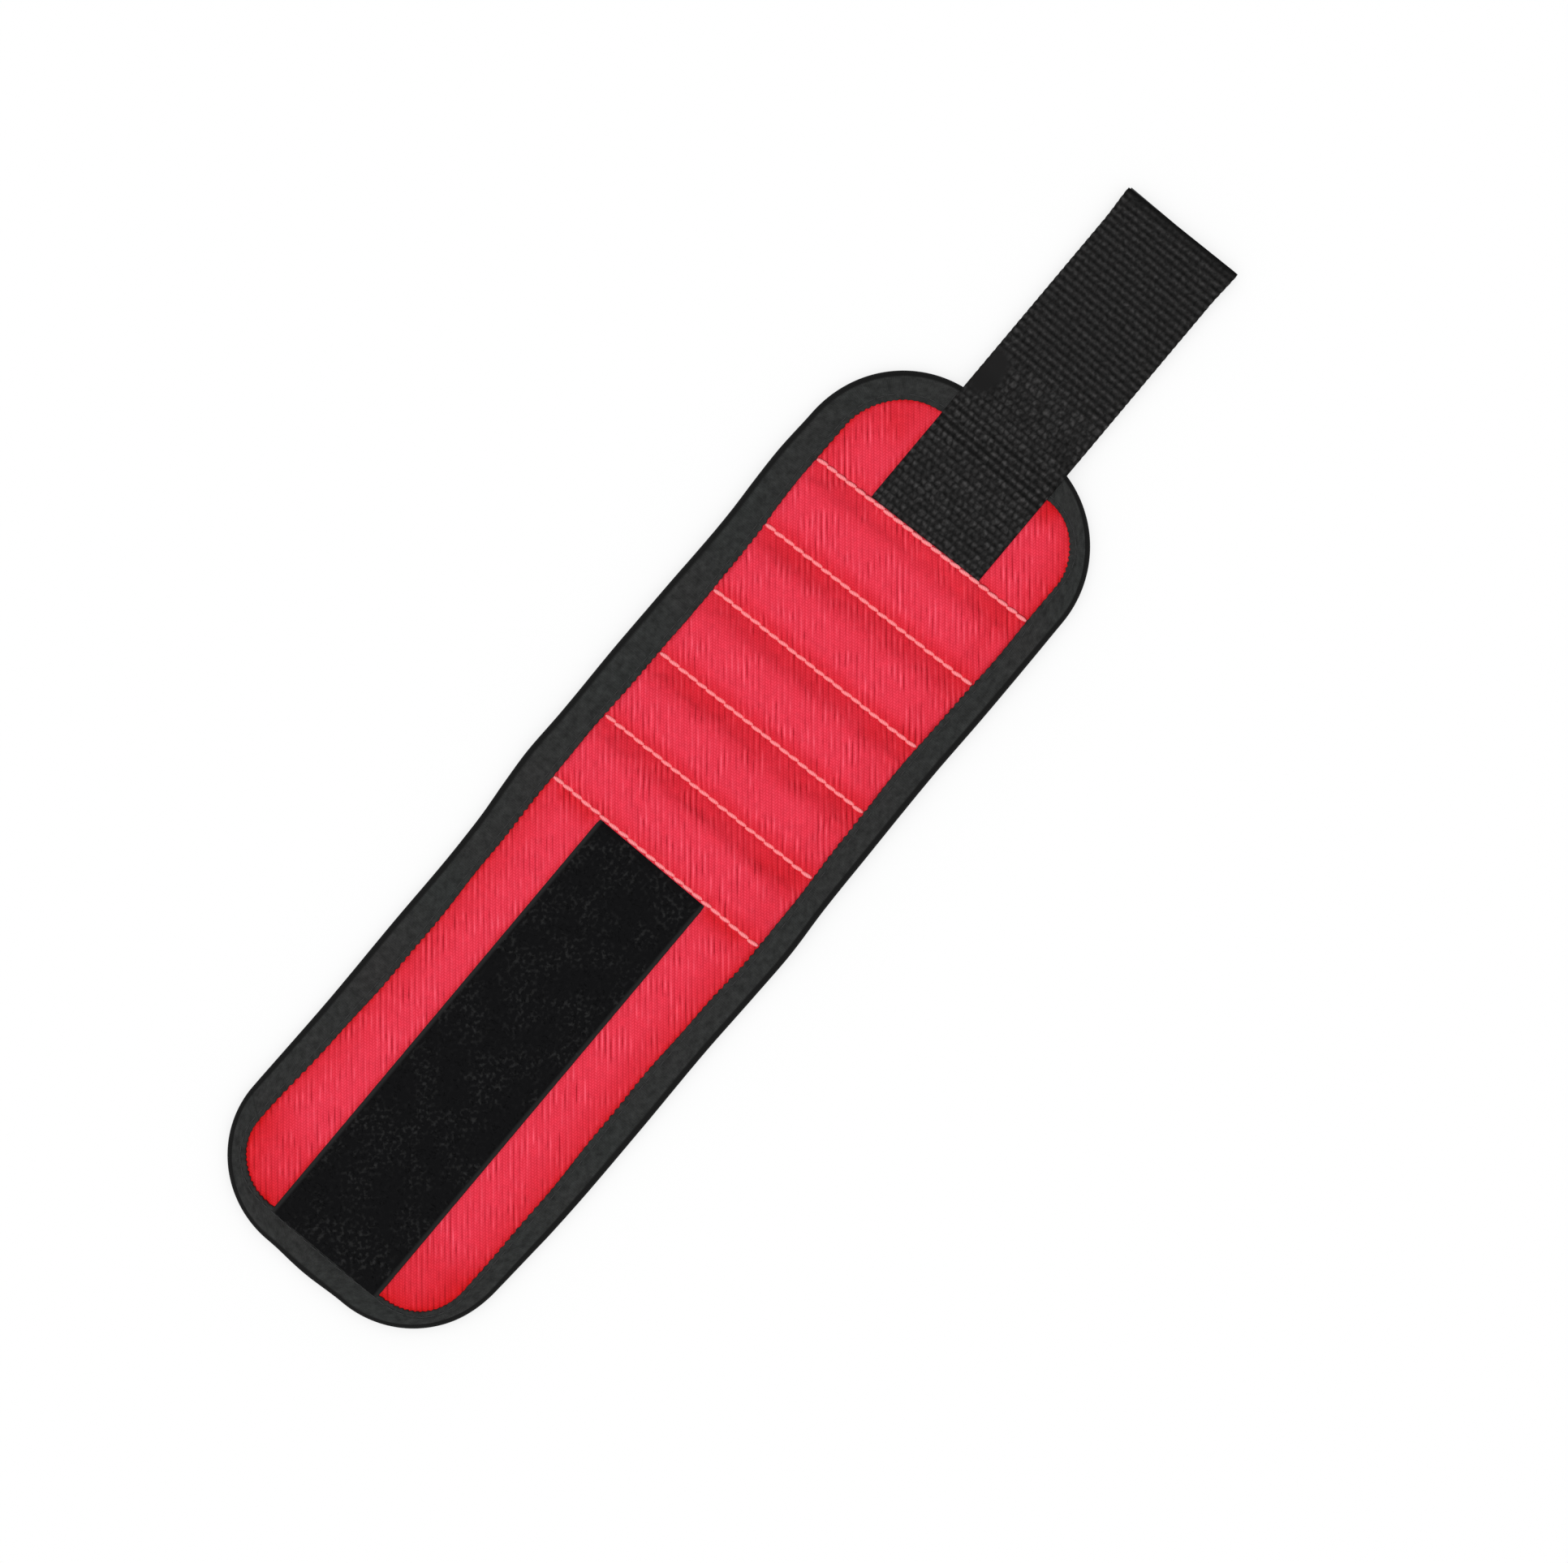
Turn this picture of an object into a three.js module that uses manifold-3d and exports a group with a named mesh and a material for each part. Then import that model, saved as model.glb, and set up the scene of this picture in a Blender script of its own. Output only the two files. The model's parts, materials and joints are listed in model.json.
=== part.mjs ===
// A magnetic wristband: a padded cloth band, bound all round, with five sewn magnet pockets, a loop
// tape on its tail and a webbing strap with hook tape under it on its head. It lies flat on its wrist
// side. Millimetres: X runs along the band to the strap's tip, Y across it, and Z up to the pockets.
import * as THREE from "three";
import { mergeVertices } from "three/addons/utils/BufferGeometryUtils.js";
import Module from "manifold-3d";

const wasm = await Module();
wasm.setup();

// Lengths along the band, from the tail's end to the strap's tip
const tailLength = 150.8;
const tailBays = 4;
const pocketCount = 5;
const pocketPitch = 23.2;
const headLength = 40.7;
const strapDropRun = 4.5;
const strapBayLength = 43.4;
const strapTipLength = 24.6;

// Half width of the band, and how far it bulges past that at the pocket panel
const bandHalfWidth = 45;
const hemBulge = 1.2;
const pocketBulge = 0.8;
const tailCornerRadius = 30.5;
const headCornerRadius = 33;

// Binding that shows round the cloth, and the corners that it leaves the cloth
const sideBindingWidth = 8.8;
const tailBindingWidth = 9;
const headBindingWidth = 9.6;
const clothTailRadius = 16;
const clothHeadRadius = 20.5;

// Thicknesses of what is sewn together, from the wrist side up
const bindingThickness = 0.6;
const paddingThickness = 2;
const clothThickness = 0.6;
const loopThickness = 1.6;
const webbingThickness = 1.5;
const hookThickness = 1.7;

// Tapes and strap
const tapeWidth = 38;
const hookMargin = 1;
const strapStepRun = 1.5;
const hookSetback = 4;

// Magnets and the crown of the cloth over them
const magnetWidth = 10;
const magnetThickness = 2;
const magnetGap = 0.6;
const magnetEndRoom = 5.9;
const crownRise = 2.7;
const crownFlatHalfWidth = 2;
const crownSeamMargin = 1;
const crownEndRun = 8;
const crownPower = 2.5;

// Room between pieces: beside a sewn edge, at a fold, and the back bend that a fold leaves room for
const edgeGap = 0.3;
const foldGap = 0.3;
const backBend = THREE.MathUtils.degToRad(15);
const cutOverrun = 5;

// Steps in a quarter round of the outlines
const outerCornerSteps = 14;
const innerCornerSteps = 8;

// Places worked out from the sizes
const bandLength = tailLength + pocketCount * pocketPitch + headLength;
const strapLength = strapDropRun + strapBayLength + strapTipLength;
const tailEndX = -(bandLength + strapLength) / 2;
const firstSeamX = tailEndX + tailLength;
const lastSeamX = firstSeamX + pocketCount * pocketPitch;
const headEndX = lastSeamX + headLength;
const strapRootFoldX = headEndX + strapDropRun;
const strapFoldX = strapRootFoldX + strapBayLength;
const strapTipX = strapFoldX + strapTipLength;
const clothTailX = tailEndX + tailBindingWidth;
const clothHeadX = headEndX - headBindingWidth;
const hemHalfWidth = bandHalfWidth + hemBulge;
const pocketHalfWidth = bandHalfWidth + pocketBulge;
const clothHalfWidth = bandHalfWidth - sideBindingWidth;
const magnetLength = clothHalfWidth - magnetEndRoom - magnetGap / 2;
const magnetSpacing = magnetLength + magnetGap;

// Heights worked out from the thicknesses
const panelTop = paddingThickness + clothThickness;
const bandTop = panelTop + bindingThickness;
const pocketPanelTop = panelTop + clothThickness;
const pocketBandTop = pocketPanelTop + bindingThickness;
const bindingWallInset = bindingThickness + edgeGap;

// Cloth, tape and magnet finishes
function finish(color, roughness, metalness = 0) {
  return new THREE.MeshStandardMaterial({ color, roughness, metalness, flatShading: true });
}
const redCloth = finish(0xe43a4d, 0.85);
const meshLining = finish(0x1d1d1f, 0.95);
const bindingTape = finish(0x2c2b2c, 0.9);
const loopPile = finish(0x161516, 1);
const webbing = finish(0x252525, 0.85);
const hookPlastic = finish(0x1a1a1b, 0.6);
const nickel = finish(0xb9bbbd, 0.25, 1);

// A closed geometry as a solid that can be cut and joined
function solidOf(geometry) {
  const bare = geometry.clone();
  bare.deleteAttribute("normal");
  bare.deleteAttribute("uv");
  const merged = mergeVertices(bare);
  return new wasm.Manifold(
    new wasm.Mesh({
      numProp: 3,
      vertProperties: new Float32Array(merged.attributes.position.array),
      triVerts: new Uint32Array(merged.index.array),
    }),
  );
}

// A solid back as a geometry
function geometryOf(solid) {
  const cut = solid.getMesh();
  const geometry = new THREE.BufferGeometry();
  geometry.setAttribute("position", new THREE.BufferAttribute(cut.vertProperties, 3));
  geometry.setIndex(new THREE.BufferAttribute(cut.triVerts, 1));
  geometry.computeVertexNormals();
  return geometry;
}

// One named piece in a group
function piece(group, name, geometry, material) {
  const mesh = new THREE.Mesh(geometry, material);
  mesh.name = name;
  group.add(mesh);
  return mesh;
}

// A flat outline raised between two heights
function raised(shape, bottom, top, curveSegments) {
  const geometry = new THREE.ExtrudeGeometry(shape, {
    depth: top - bottom,
    bevelEnabled: false,
    curveSegments,
  });
  return geometry.translate(0, 0, bottom);
}

// A side profile in X and Z carried across the band, centred on its middle line
function acrossBand(profile, width) {
  const shape = new THREE.Shape(profile.map(([x, z]) => new THREE.Vector2(x, z)));
  const geometry = new THREE.ExtrudeGeometry(shape, { depth: width, bevelEnabled: false });
  const upright = new THREE.Matrix4().makeBasis(
    new THREE.Vector3(1, 0, 0),
    new THREE.Vector3(0, 0, 1),
    new THREE.Vector3(0, -1, 0),
  );
  return geometry.applyMatrix4(upright).translate(0, width / 2, 0);
}

// A rounded outline: two ends with quarter rounds, and side points between them from tail to head
function roundedOutline(startX, endX, startRadius, endRadius, sides) {
  const [, firstHalf] = sides[0];
  const [, lastHalf] = sides.at(-1);
  const shape = new THREE.Shape();
  shape.moveTo(endX, -(lastHalf - endRadius));
  shape.lineTo(endX, lastHalf - endRadius);
  shape.absarc(endX - endRadius, lastHalf - endRadius, endRadius, 0, Math.PI / 2);
  for (const [x, half] of sides.slice(1, -1).reverse()) shape.lineTo(x, half);
  shape.lineTo(startX + startRadius, firstHalf);
  shape.absarc(startX + startRadius, firstHalf - startRadius, startRadius, Math.PI / 2, Math.PI);
  shape.lineTo(startX, -(firstHalf - startRadius));
  shape.absarc(startX + startRadius, startRadius - firstHalf, startRadius, Math.PI, 1.5 * Math.PI);
  for (const [x, half] of sides.slice(1, -1)) shape.lineTo(x, -half);
  shape.lineTo(endX - endRadius, -lastHalf);
  shape.absarc(endX - endRadius, endRadius - lastHalf, endRadius, 1.5 * Math.PI, 2 * Math.PI);
  return shape;
}

// The band's outer edge, moved in by an inset
function bandOutline(inset) {
  return roundedOutline(
    tailEndX + inset,
    headEndX - inset,
    tailCornerRadius - inset,
    headCornerRadius - inset,
    [
      [tailEndX + tailCornerRadius, bandHalfWidth - inset],
      [firstSeamX, hemHalfWidth - inset],
      [lastSeamX, pocketHalfWidth - inset],
      [headEndX - headCornerRadius, bandHalfWidth - inset],
    ],
  );
}

// The edge of the cloth inside the binding, moved in by an inset
function clothOutline(inset) {
  return roundedOutline(
    clothTailX + inset,
    clothHeadX - inset,
    clothTailRadius - inset,
    clothHeadRadius - inset,
    [
      [clothTailX + clothTailRadius, clothHalfWidth - inset],
      [clothHeadX - clothHeadRadius, clothHalfWidth - inset],
    ],
  );
}

// The whole padding and its mesh lining, thinner where the binding folds under it
function paddingLayer(top) {
  const body = raised(bandOutline(bindingWallInset), bindingThickness, top, outerCornerSteps);
  const wristFace = raised(clothOutline(edgeGap), 0, bindingThickness, innerCornerSteps);
  return solidOf(body).add(solidOf(wristFace));
}

// The whole binding tape: a strip folded round the band's edge, with a leaf on each side
function bindingLayer(top) {
  const strip = bandOutline(0);
  const body = solidOf(raised(strip, 0, top, outerCornerSteps));
  const fold = raised(
    bandOutline(bindingThickness),
    bindingThickness,
    top - bindingThickness,
    outerCornerSteps,
  );
  const opening = raised(clothOutline(0), -cutOverrun, top + cutOverrun, innerCornerSteps);
  return body.subtract(solidOf(fold)).subtract(solidOf(opening));
}

// The room of one bay between two fold lines. A fold line lies at its own height, and the bay's
// faces lean away from it, so that the band can bend back until they meet
function bay(startX, endX, startZ = 0, endZ = 0) {
  const lean = Math.tan(backBend / 2);
  const low = -cutOverrun;
  const high = pocketBandTop + crownRise + cutOverrun;
  const startAt = (z) => startX + foldGap / 2 + (z - startZ) * lean;
  const endAt = (z) => endX - foldGap / 2 - (z - endZ) * lean;
  const profile = [
    [startAt(low), low],
    [endAt(low), low],
    [endAt(high), high],
    [startAt(high), high],
  ];
  return solidOf(acrossBand(profile, 2 * (hemHalfWidth + cutOverrun)));
}

// The two sides of a binding that a bay has cut apart, the right side (-Y) first
function sidesOf(solid) {
  return solid.decompose().sort((a, b) => a.boundingBox().min[1] - b.boundingBox().min[1]);
}

function addBindingSides(group, name, layer, room) {
  const [right, left] = sidesOf(layer.intersect(room));
  piece(group, `${name}_binding_left`, geometryOf(left), bindingTape);
  piece(group, `${name}_binding_right`, geometryOf(right), bindingTape);
}

// The cloth over one pocket: flat at its seams and under the binding, raised over the magnets
function pocketCover() {
  const seamHalf = pocketPitch / 2;
  const leanInset = foldGap / 2 + pocketPanelTop * Math.tan(backBend / 2);
  const crownHalf = seamHalf - crownSeamMargin;
  const coverHalfWidth = pocketHalfWidth - bindingWallInset;
  const crownXShares = [1, 0.86, 0.62, 0.34, 0];
  const crownYShares = [1, 0.82, 0.5, 0];
  const crownX = crownXShares.map((s) => THREE.MathUtils.lerp(crownFlatHalfWidth, crownHalf, s));
  const crownY = crownYShares.map((s) => clothHalfWidth - crownEndRun * (1 - s));
  const halfX = [seamHalf - leanInset, ...crownX];
  const halfY = [coverHalfWidth, ...crownY];
  const xs = [...halfX.map((x) => -x), ...halfX.reverse()];
  const ys = [...halfY.map((y) => -y), ...halfY.reverse()];
  const fall = (distance, flat, end) => {
    const share = THREE.MathUtils.clamp((Math.abs(distance) - flat) / (end - flat), 0, 1);
    return 1 - Math.pow(share, crownPower);
  };
  const rise = (x, y) =>
    crownRise *
    fall(x, crownFlatHalfWidth, crownHalf) *
    fall(y, clothHalfWidth - crownEndRun, clothHalfWidth);
  return bentSheet(xs, ys, (x, y) => panelTop + rise(x, y), clothThickness);
}

// A sheet of even upright thickness over a grid of places, closed round its edges
function bentSheet(xs, ys, underside, thickness) {
  const positions = [];
  for (const lift of [0, thickness])
    for (const y of ys) for (const x of xs) positions.push(x, y, underside(x, y) + lift);
  const columns = xs.length;
  const layerSize = columns * ys.length;
  const index = [];
  const quad = (a, b, c, d) => index.push(a, b, c, a, c, d);
  const at = (column, row) => row * columns + column;
  for (let row = 0; row + 1 < ys.length; row++)
    for (let column = 0; column + 1 < columns; column++) {
      const a = at(column, row);
      const b = at(column + 1, row);
      const c = at(column + 1, row + 1);
      const d = at(column, row + 1);
      quad(d, c, b, a);
      quad(a + layerSize, b + layerSize, c + layerSize, d + layerSize);
    }
  const rim = [];
  for (let column = 0; column + 1 < columns; column++) rim.push(at(column, 0));
  for (let row = 0; row + 1 < ys.length; row++) rim.push(at(columns - 1, row));
  for (let column = columns - 1; column > 0; column--) rim.push(at(column, ys.length - 1));
  for (let row = ys.length - 1; row > 0; row--) rim.push(at(0, row));
  rim.forEach((a, i) => {
    const b = rim[(i + 1) % rim.length];
    quad(a, b, b + layerSize, a + layerSize);
  });
  const geometry = new THREE.BufferGeometry();
  geometry.setAttribute("position", new THREE.Float32BufferAttribute(positions, 3));
  geometry.setIndex(index);
  geometry.computeVertexNormals();
  return geometry;
}

// A tape lying between two places along the band
function tape(startX, endX, bottom, thickness, width) {
  const geometry = new THREE.BoxGeometry(endX - startX, width, thickness);
  return geometry.translate((startX + endX) / 2, 0, bottom + thickness / 2);
}

// The strap's webbing from its seam, up over the binding and down to lie flat past the band's edge
function strapRoot() {
  const underside = [
    [lastSeamX, panelTop],
    [clothHeadX - edgeGap - strapStepRun, panelTop],
    [clothHeadX - edgeGap, bandTop],
    [headEndX + edgeGap, bandTop],
    [strapRootFoldX, hookThickness],
    [strapRootFoldX + cutOverrun, hookThickness],
  ];
  const upper = underside.map(([x, z]) => [x, z + webbingThickness]).reverse();
  return acrossBand([...underside, ...upper], tapeWidth);
}

const band = new THREE.Group();

// Whole layers, cut at the folds below
const tailPadding = paddingLayer(paddingThickness);
const pocketPadding = paddingLayer(panelTop);
const tailBinding = bindingLayer(bandTop);
const pocketBinding = bindingLayer(pocketBandTop);
const frontPanel = solidOf(
  raised(bandOutline(bindingWallInset), paddingThickness, panelTop, outerCornerSteps),
);
const loopTape = solidOf(
  tape(clothTailX + edgeGap, firstSeamX, panelTop, loopThickness, tapeWidth),
);

// Tail: four bays from the free end to the first pocket seam
const tailBayLength = tailLength / tailBays;
for (let i = 0; i < tailBays; i++) {
  const name = `tail_${i + 1}`;
  const startX = tailEndX + i * tailBayLength;
  const room = bay(i === 0 ? startX - cutOverrun : startX, startX + tailBayLength);
  const tail = new THREE.Group();
  piece(tail, `${name}_lining`, geometryOf(tailPadding.intersect(room)), meshLining);
  piece(tail, `${name}_front_panel`, geometryOf(frontPanel.intersect(room)), redCloth);
  piece(tail, `${name}_loop_tape`, geometryOf(loopTape.intersect(room)), loopPile);
  if (i === 0) piece(tail, `${name}_binding`, geometryOf(tailBinding.intersect(room)), bindingTape);
  else addBindingSides(tail, name, tailBinding, room);
  band.add(tail);
}

// Pockets: padding, cover and two bar magnets in each, between the sewn seams
const coverGeometry = pocketCover();
const magnetGeometry = new THREE.BoxGeometry(magnetWidth, magnetLength, magnetThickness);
for (let i = 0; i < pocketCount; i++) {
  const name = `pocket_${i + 1}`;
  const startX = firstSeamX + i * pocketPitch;
  const middleX = startX + pocketPitch / 2;
  const room = bay(startX, startX + pocketPitch);
  const pocket = new THREE.Group();
  piece(pocket, `${name}_back_pad`, geometryOf(pocketPadding.intersect(room)), meshLining);
  addBindingSides(pocket, name, pocketBinding, room);
  piece(pocket, `${name}_cover`, coverGeometry, redCloth).position.x = middleX;
  for (const [side, sign] of [
    ["left", 1],
    ["right", -1],
  ]) {
    const magnet = piece(pocket, `${name}_magnet_${side}`, magnetGeometry, nickel);
    magnet.position.set(middleX, (sign * magnetSpacing) / 2, panelTop + magnetThickness / 2);
  }
  band.add(pocket);
}

// Head: the rounded end that the strap is sewn to
const headRoom = bay(lastSeamX, headEndX + 2 * cutOverrun);
const head = new THREE.Group();
piece(head, "head_lining", geometryOf(tailPadding.intersect(headRoom)), meshLining);
piece(head, "head_front_panel", geometryOf(frontPanel.intersect(headRoom)), redCloth);
piece(head, "head_binding", geometryOf(tailBinding.intersect(headRoom)), bindingTape);
const rootRoom = bay(lastSeamX, strapRootFoldX, 0, hookThickness);
piece(head, "head_strap_webbing", geometryOf(solidOf(strapRoot()).intersect(rootRoom)), webbing);
band.add(head);

// Strap: webbing with hook tape under it, in two bays past the head
const strapBays = [
  ["strap_near", bay(strapRootFoldX, strapFoldX, hookThickness, 0), strapRootFoldX + hookSetback],
  ["strap_tip", bay(strapFoldX, strapTipX + cutOverrun), strapFoldX],
];
const strapWebbing = solidOf(
  tape(strapRootFoldX, strapTipX, hookThickness, webbingThickness, tapeWidth),
);
for (const [name, room, hookStartX] of strapBays) {
  const strap = new THREE.Group();
  piece(strap, `${name}_webbing`, geometryOf(strapWebbing.intersect(room)), webbing);
  const hooks = tape(hookStartX, strapTipX, 0, hookThickness, tapeWidth - 2 * hookMargin);
  piece(strap, `${name}_hook_tape`, geometryOf(solidOf(hooks).intersect(room)), hookPlastic);
  band.add(strap);
}

export default band;
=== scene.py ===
# %% [markdown]
# # A magnetic wristband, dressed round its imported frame
#
# The real object is a flat band of cloth over thin foam. Five pockets sewn across it hold bar magnets
# that catch screws and bits. Black tape binds its edge, a loop tape lies on its tail, and a webbing
# strap with hook tape under it runs on from its head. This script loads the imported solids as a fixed
# frame and builds what the eye sees in their place: cloth, tape, pile and thread, each as a mesh with
# a procedural finish.
#
# Lengths are in millimetres until a mesh is made, and one factor then turns them into metres. X runs
# along the band to the strap's tip, Y across it with the left side positive, and Z up.

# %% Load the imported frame
import json
import math

import bmesh
import bpy
import numpy as np
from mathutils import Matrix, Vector

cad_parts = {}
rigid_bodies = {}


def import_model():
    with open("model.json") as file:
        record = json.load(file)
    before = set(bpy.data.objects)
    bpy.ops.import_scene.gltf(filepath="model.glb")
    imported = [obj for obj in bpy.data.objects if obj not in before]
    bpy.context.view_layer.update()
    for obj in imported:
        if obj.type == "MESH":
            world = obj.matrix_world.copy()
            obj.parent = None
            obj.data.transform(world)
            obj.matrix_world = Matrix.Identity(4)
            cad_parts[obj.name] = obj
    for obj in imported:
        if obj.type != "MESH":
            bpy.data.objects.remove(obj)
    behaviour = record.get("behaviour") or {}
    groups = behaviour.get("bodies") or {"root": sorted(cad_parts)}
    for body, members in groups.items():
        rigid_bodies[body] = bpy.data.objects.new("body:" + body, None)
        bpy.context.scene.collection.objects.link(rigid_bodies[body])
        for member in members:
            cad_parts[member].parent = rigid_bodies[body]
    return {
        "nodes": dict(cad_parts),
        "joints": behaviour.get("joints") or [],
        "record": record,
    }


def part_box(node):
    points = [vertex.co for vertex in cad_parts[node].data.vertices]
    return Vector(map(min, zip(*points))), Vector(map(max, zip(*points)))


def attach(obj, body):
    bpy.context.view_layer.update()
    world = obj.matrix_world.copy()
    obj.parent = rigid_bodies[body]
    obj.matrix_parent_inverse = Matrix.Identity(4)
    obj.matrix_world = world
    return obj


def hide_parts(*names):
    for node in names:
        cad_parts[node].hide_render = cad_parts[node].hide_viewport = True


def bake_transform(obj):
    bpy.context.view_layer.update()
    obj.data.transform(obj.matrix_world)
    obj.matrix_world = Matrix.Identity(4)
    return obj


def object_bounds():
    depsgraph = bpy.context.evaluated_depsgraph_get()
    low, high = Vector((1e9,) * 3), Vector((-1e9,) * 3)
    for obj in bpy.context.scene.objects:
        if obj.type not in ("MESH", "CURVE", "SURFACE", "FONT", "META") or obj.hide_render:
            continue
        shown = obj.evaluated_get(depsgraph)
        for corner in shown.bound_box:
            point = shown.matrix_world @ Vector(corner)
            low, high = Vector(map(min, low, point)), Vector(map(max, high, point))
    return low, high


MM = 0.001
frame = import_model()
cad_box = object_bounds()
print("CAD box in mm:", [[round(v / MM, 1) for v in corner] for corner in cad_box])

# %% [markdown]
# ## Camera
#
# The photograph looks straight down, with the band turned by fifty degrees. A long lens from about a
# metre keeps the view flat, as in the photograph. The camera is set first, because everything else is
# judged through it.

# %% Set the camera above the band
SENSOR = 36.0
LENS = 85.0
VIEW_WIDTH = 436.0
VIEW_CENTRE = (0.8, -14.0)
VIEW_TURN = math.radians(-50)
VIEW_LEVEL = 3.0

camera = bpy.data.objects.new("camera", bpy.data.cameras.new("camera"))
bpy.context.scene.collection.objects.link(camera)
camera.data.lens = LENS
camera.data.sensor_width = SENSOR
camera.data.clip_start = 0.01
camera.data.clip_end = 20.0
height = VIEW_WIDTH * LENS / SENSOR + VIEW_LEVEL
camera.location = Vector((*VIEW_CENTRE, height)) * MM
camera.rotation_euler = (0, 0, VIEW_TURN)
bpy.context.scene.camera = camera
bpy.context.scene.view_settings.view_transform = "Standard"
print(f"camera {height:.0f} mm up")

# %% [markdown]
# ## Folds
#
# The imported band is a chain of short bays with a hinge at each fold. Each layer of cloth is made once,
# in one piece, and then parted at the middle of the bays, so that every slice crosses one fold only.
# At the cuts, midway between the folds, each slice meets the next exactly.


# %% Read the folds from the frame, and put the cuts between them
def middle_x(body):
    """Where a body lies along the band."""
    nodes = frame["record"]["behaviour"]["bodies"][body]
    return sum(corner.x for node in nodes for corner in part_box(node)) / (2 * len(nodes))


folds = []
for joint in frame["joints"]:
    before, after = sorted((joint["parent"], joint["child"]), key=middle_x)
    folds.append((joint["pos_m"][0] / MM, before, after))
folds.sort()
fold_x = [x for x, _, _ in folds]
cut_x = [(a + b) / 2 for a, b in zip(fold_x, fold_x[1:])]
BAND_CUTS = cut_x[:8]

SEAMS = slice(3, 9)
seam_x = np.array(fold_x[SEAMS])
FIRST_SEAM, LAST_SEAM = seam_x[0], seam_x[-1]
TAIL_X = cad_box[0].x / MM
TIP_X = cad_box[1].x / MM
HEAD_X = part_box("head_binding")[1].x / MM
print("folds at", [round(x, 1) for x in fold_x], "cuts at", [round(x, 1) for x in cut_x])

# %% [markdown]
# ## Shapes from rings
#
# Every layer of the band is long and has a closed section, whether it is a cloth, a tape or a folded
# binding. So one way of making meshes serves them all: a row of rings of points, with quads between
# neighbouring rings and a cap on each end. The normals are worked out on the whole layer before it is
# parted, and are then kept on the slices, so that no cut shows in the shading. Each point also carries
# its place in the cloth in millimetres as its UV, which is what the weaves are drawn from, and a
# number for how much painted shade it gets: in the folds and along the edges of the red cloth, and
# between the ribs of the strap, by how deep they are.


# %% Places along the band, and lines through chosen points
def stations(start, end, step):
    """Places about a step apart, with every cut and fold between start and end among them."""
    keys = [start, *(x for x in sorted(cut_x + fold_x) if start < x < end), end]
    runs = [
        np.linspace(a, b, math.ceil((b - a) / step) + 1)[:-1]
        for a, b in zip(keys, keys[1:])
    ]
    return np.append(np.concatenate(runs), end)


def eased(points, x):
    """A line through a few chosen points, level at each of them."""
    px, py = np.array(points, float).T
    k = np.clip(np.searchsorted(px, x, side="right") - 1, 0, len(px) - 2)
    t = np.clip((x - px[k]) / (px[k + 1] - px[k]), 0, 1)
    return py[k] + (py[k + 1] - py[k]) * t * t * (3 - 2 * t)


def traced(points, x):
    """A smooth line through measured points, level beyond them."""
    px, py = np.array(points, float).T
    slope = np.gradient(py, px)
    k = np.clip(np.searchsorted(px, x, side="right") - 1, 0, len(px) - 2)
    run, rise = px[k + 1] - px[k], py[k + 1] - py[k]
    t = np.clip((x - px[k]) / run, 0, 1)
    start, end = slope[k] * run, slope[k + 1] * run
    return py[k] + t * (start + t * (3 * rise - 2 * start - end + t * (start + end - 2 * rise)))


def soft_spots(x, y, places):
    """Soft spots, for dents and for painted shade. Each has its X, Y, two radii, a turn and a depth."""
    depth = 0.0
    for middle_x, middle_y, across, along, turn, deep in places:
        dx, dy = x - middle_x, y - middle_y
        u = dx * math.cos(turn) + dy * math.sin(turn)
        v = dy * math.cos(turn) - dx * math.sin(turn)
        depth = depth + deep * np.exp(-((u / across) ** 2) - (v / along) ** 2)
    return depth


def waves(x, y, length):
    """A soft unevenness between -1 and 1, with swells about a length apart."""
    turn = 2 * np.pi / length
    long = np.sin(turn * (0.83 * x + 0.41 * y) + 1.1) + np.sin(turn * (0.37 * x - 0.92 * y) + 4.0)
    short = np.sin(turn * (1.9 * x - 0.7 * y) + 2.3) * np.sin(turn * (0.6 * x + 1.7 * y) + 0.4)
    return (long + short) / 3


# %% Rings to parts, and parts to a mesh
def points_of(*coordinates):
    """Coordinates joined into points. A coordinate may be the same all over."""
    return np.stack(np.broadcast_arrays(*coordinates), axis=-1)


def run_of(points):
    """How far along a line of points each of them lies."""
    return np.append(0, np.cumsum(np.linalg.norm(np.diff(points, axis=0), axis=1)))


def normals_of(rings):
    """Outward directions of a row of rings that run up the right side, as seen from their start."""
    along = np.gradient(rings, axis=0)
    around = np.roll(rings, -1, axis=1) - np.roll(rings, 1, axis=1)
    normal = np.cross(along, around)
    return normal / np.maximum(np.linalg.norm(normal, axis=-1, keepdims=True), 1e-12)


def layer_of(rings, uv, depth):
    """A whole layer: rings, UVs in millimetres, normals, and how much painted shade each point gets."""
    return {"rings": rings, "uv": uv, "normals": normals_of(rings), "depth": depth}


def slice_of(layer, first, last):
    """The part of a layer between two of its rings, closed by a cap at each end."""
    chosen = {key: values[first : last + 1] for key, values in layer.items()}
    rings = chosen["rings"]
    n, k, _ = rings.shape
    here = np.arange(n * k).reshape(n, k)
    after = np.roll(here, -1, axis=1)
    quads = np.stack([here[:-1], here[1:], after[1:], after[:-1]], axis=-1).reshape(-1, 4)
    caps = [here[0].tolist(), here[-1, ::-1].tolist()]
    return {
        "points": rings.reshape(-1, 3),
        "uv": chosen["uv"].reshape(-1, 2),
        "normals": chosen["normals"].reshape(-1, 3),
        "depth": chosen["depth"].ravel(),
        "quads": quads,
        "caps": caps,
    }


UV_NAME = "cloth_mm"
SHADE_ATTRIBUTE = "fold_depth"


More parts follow.
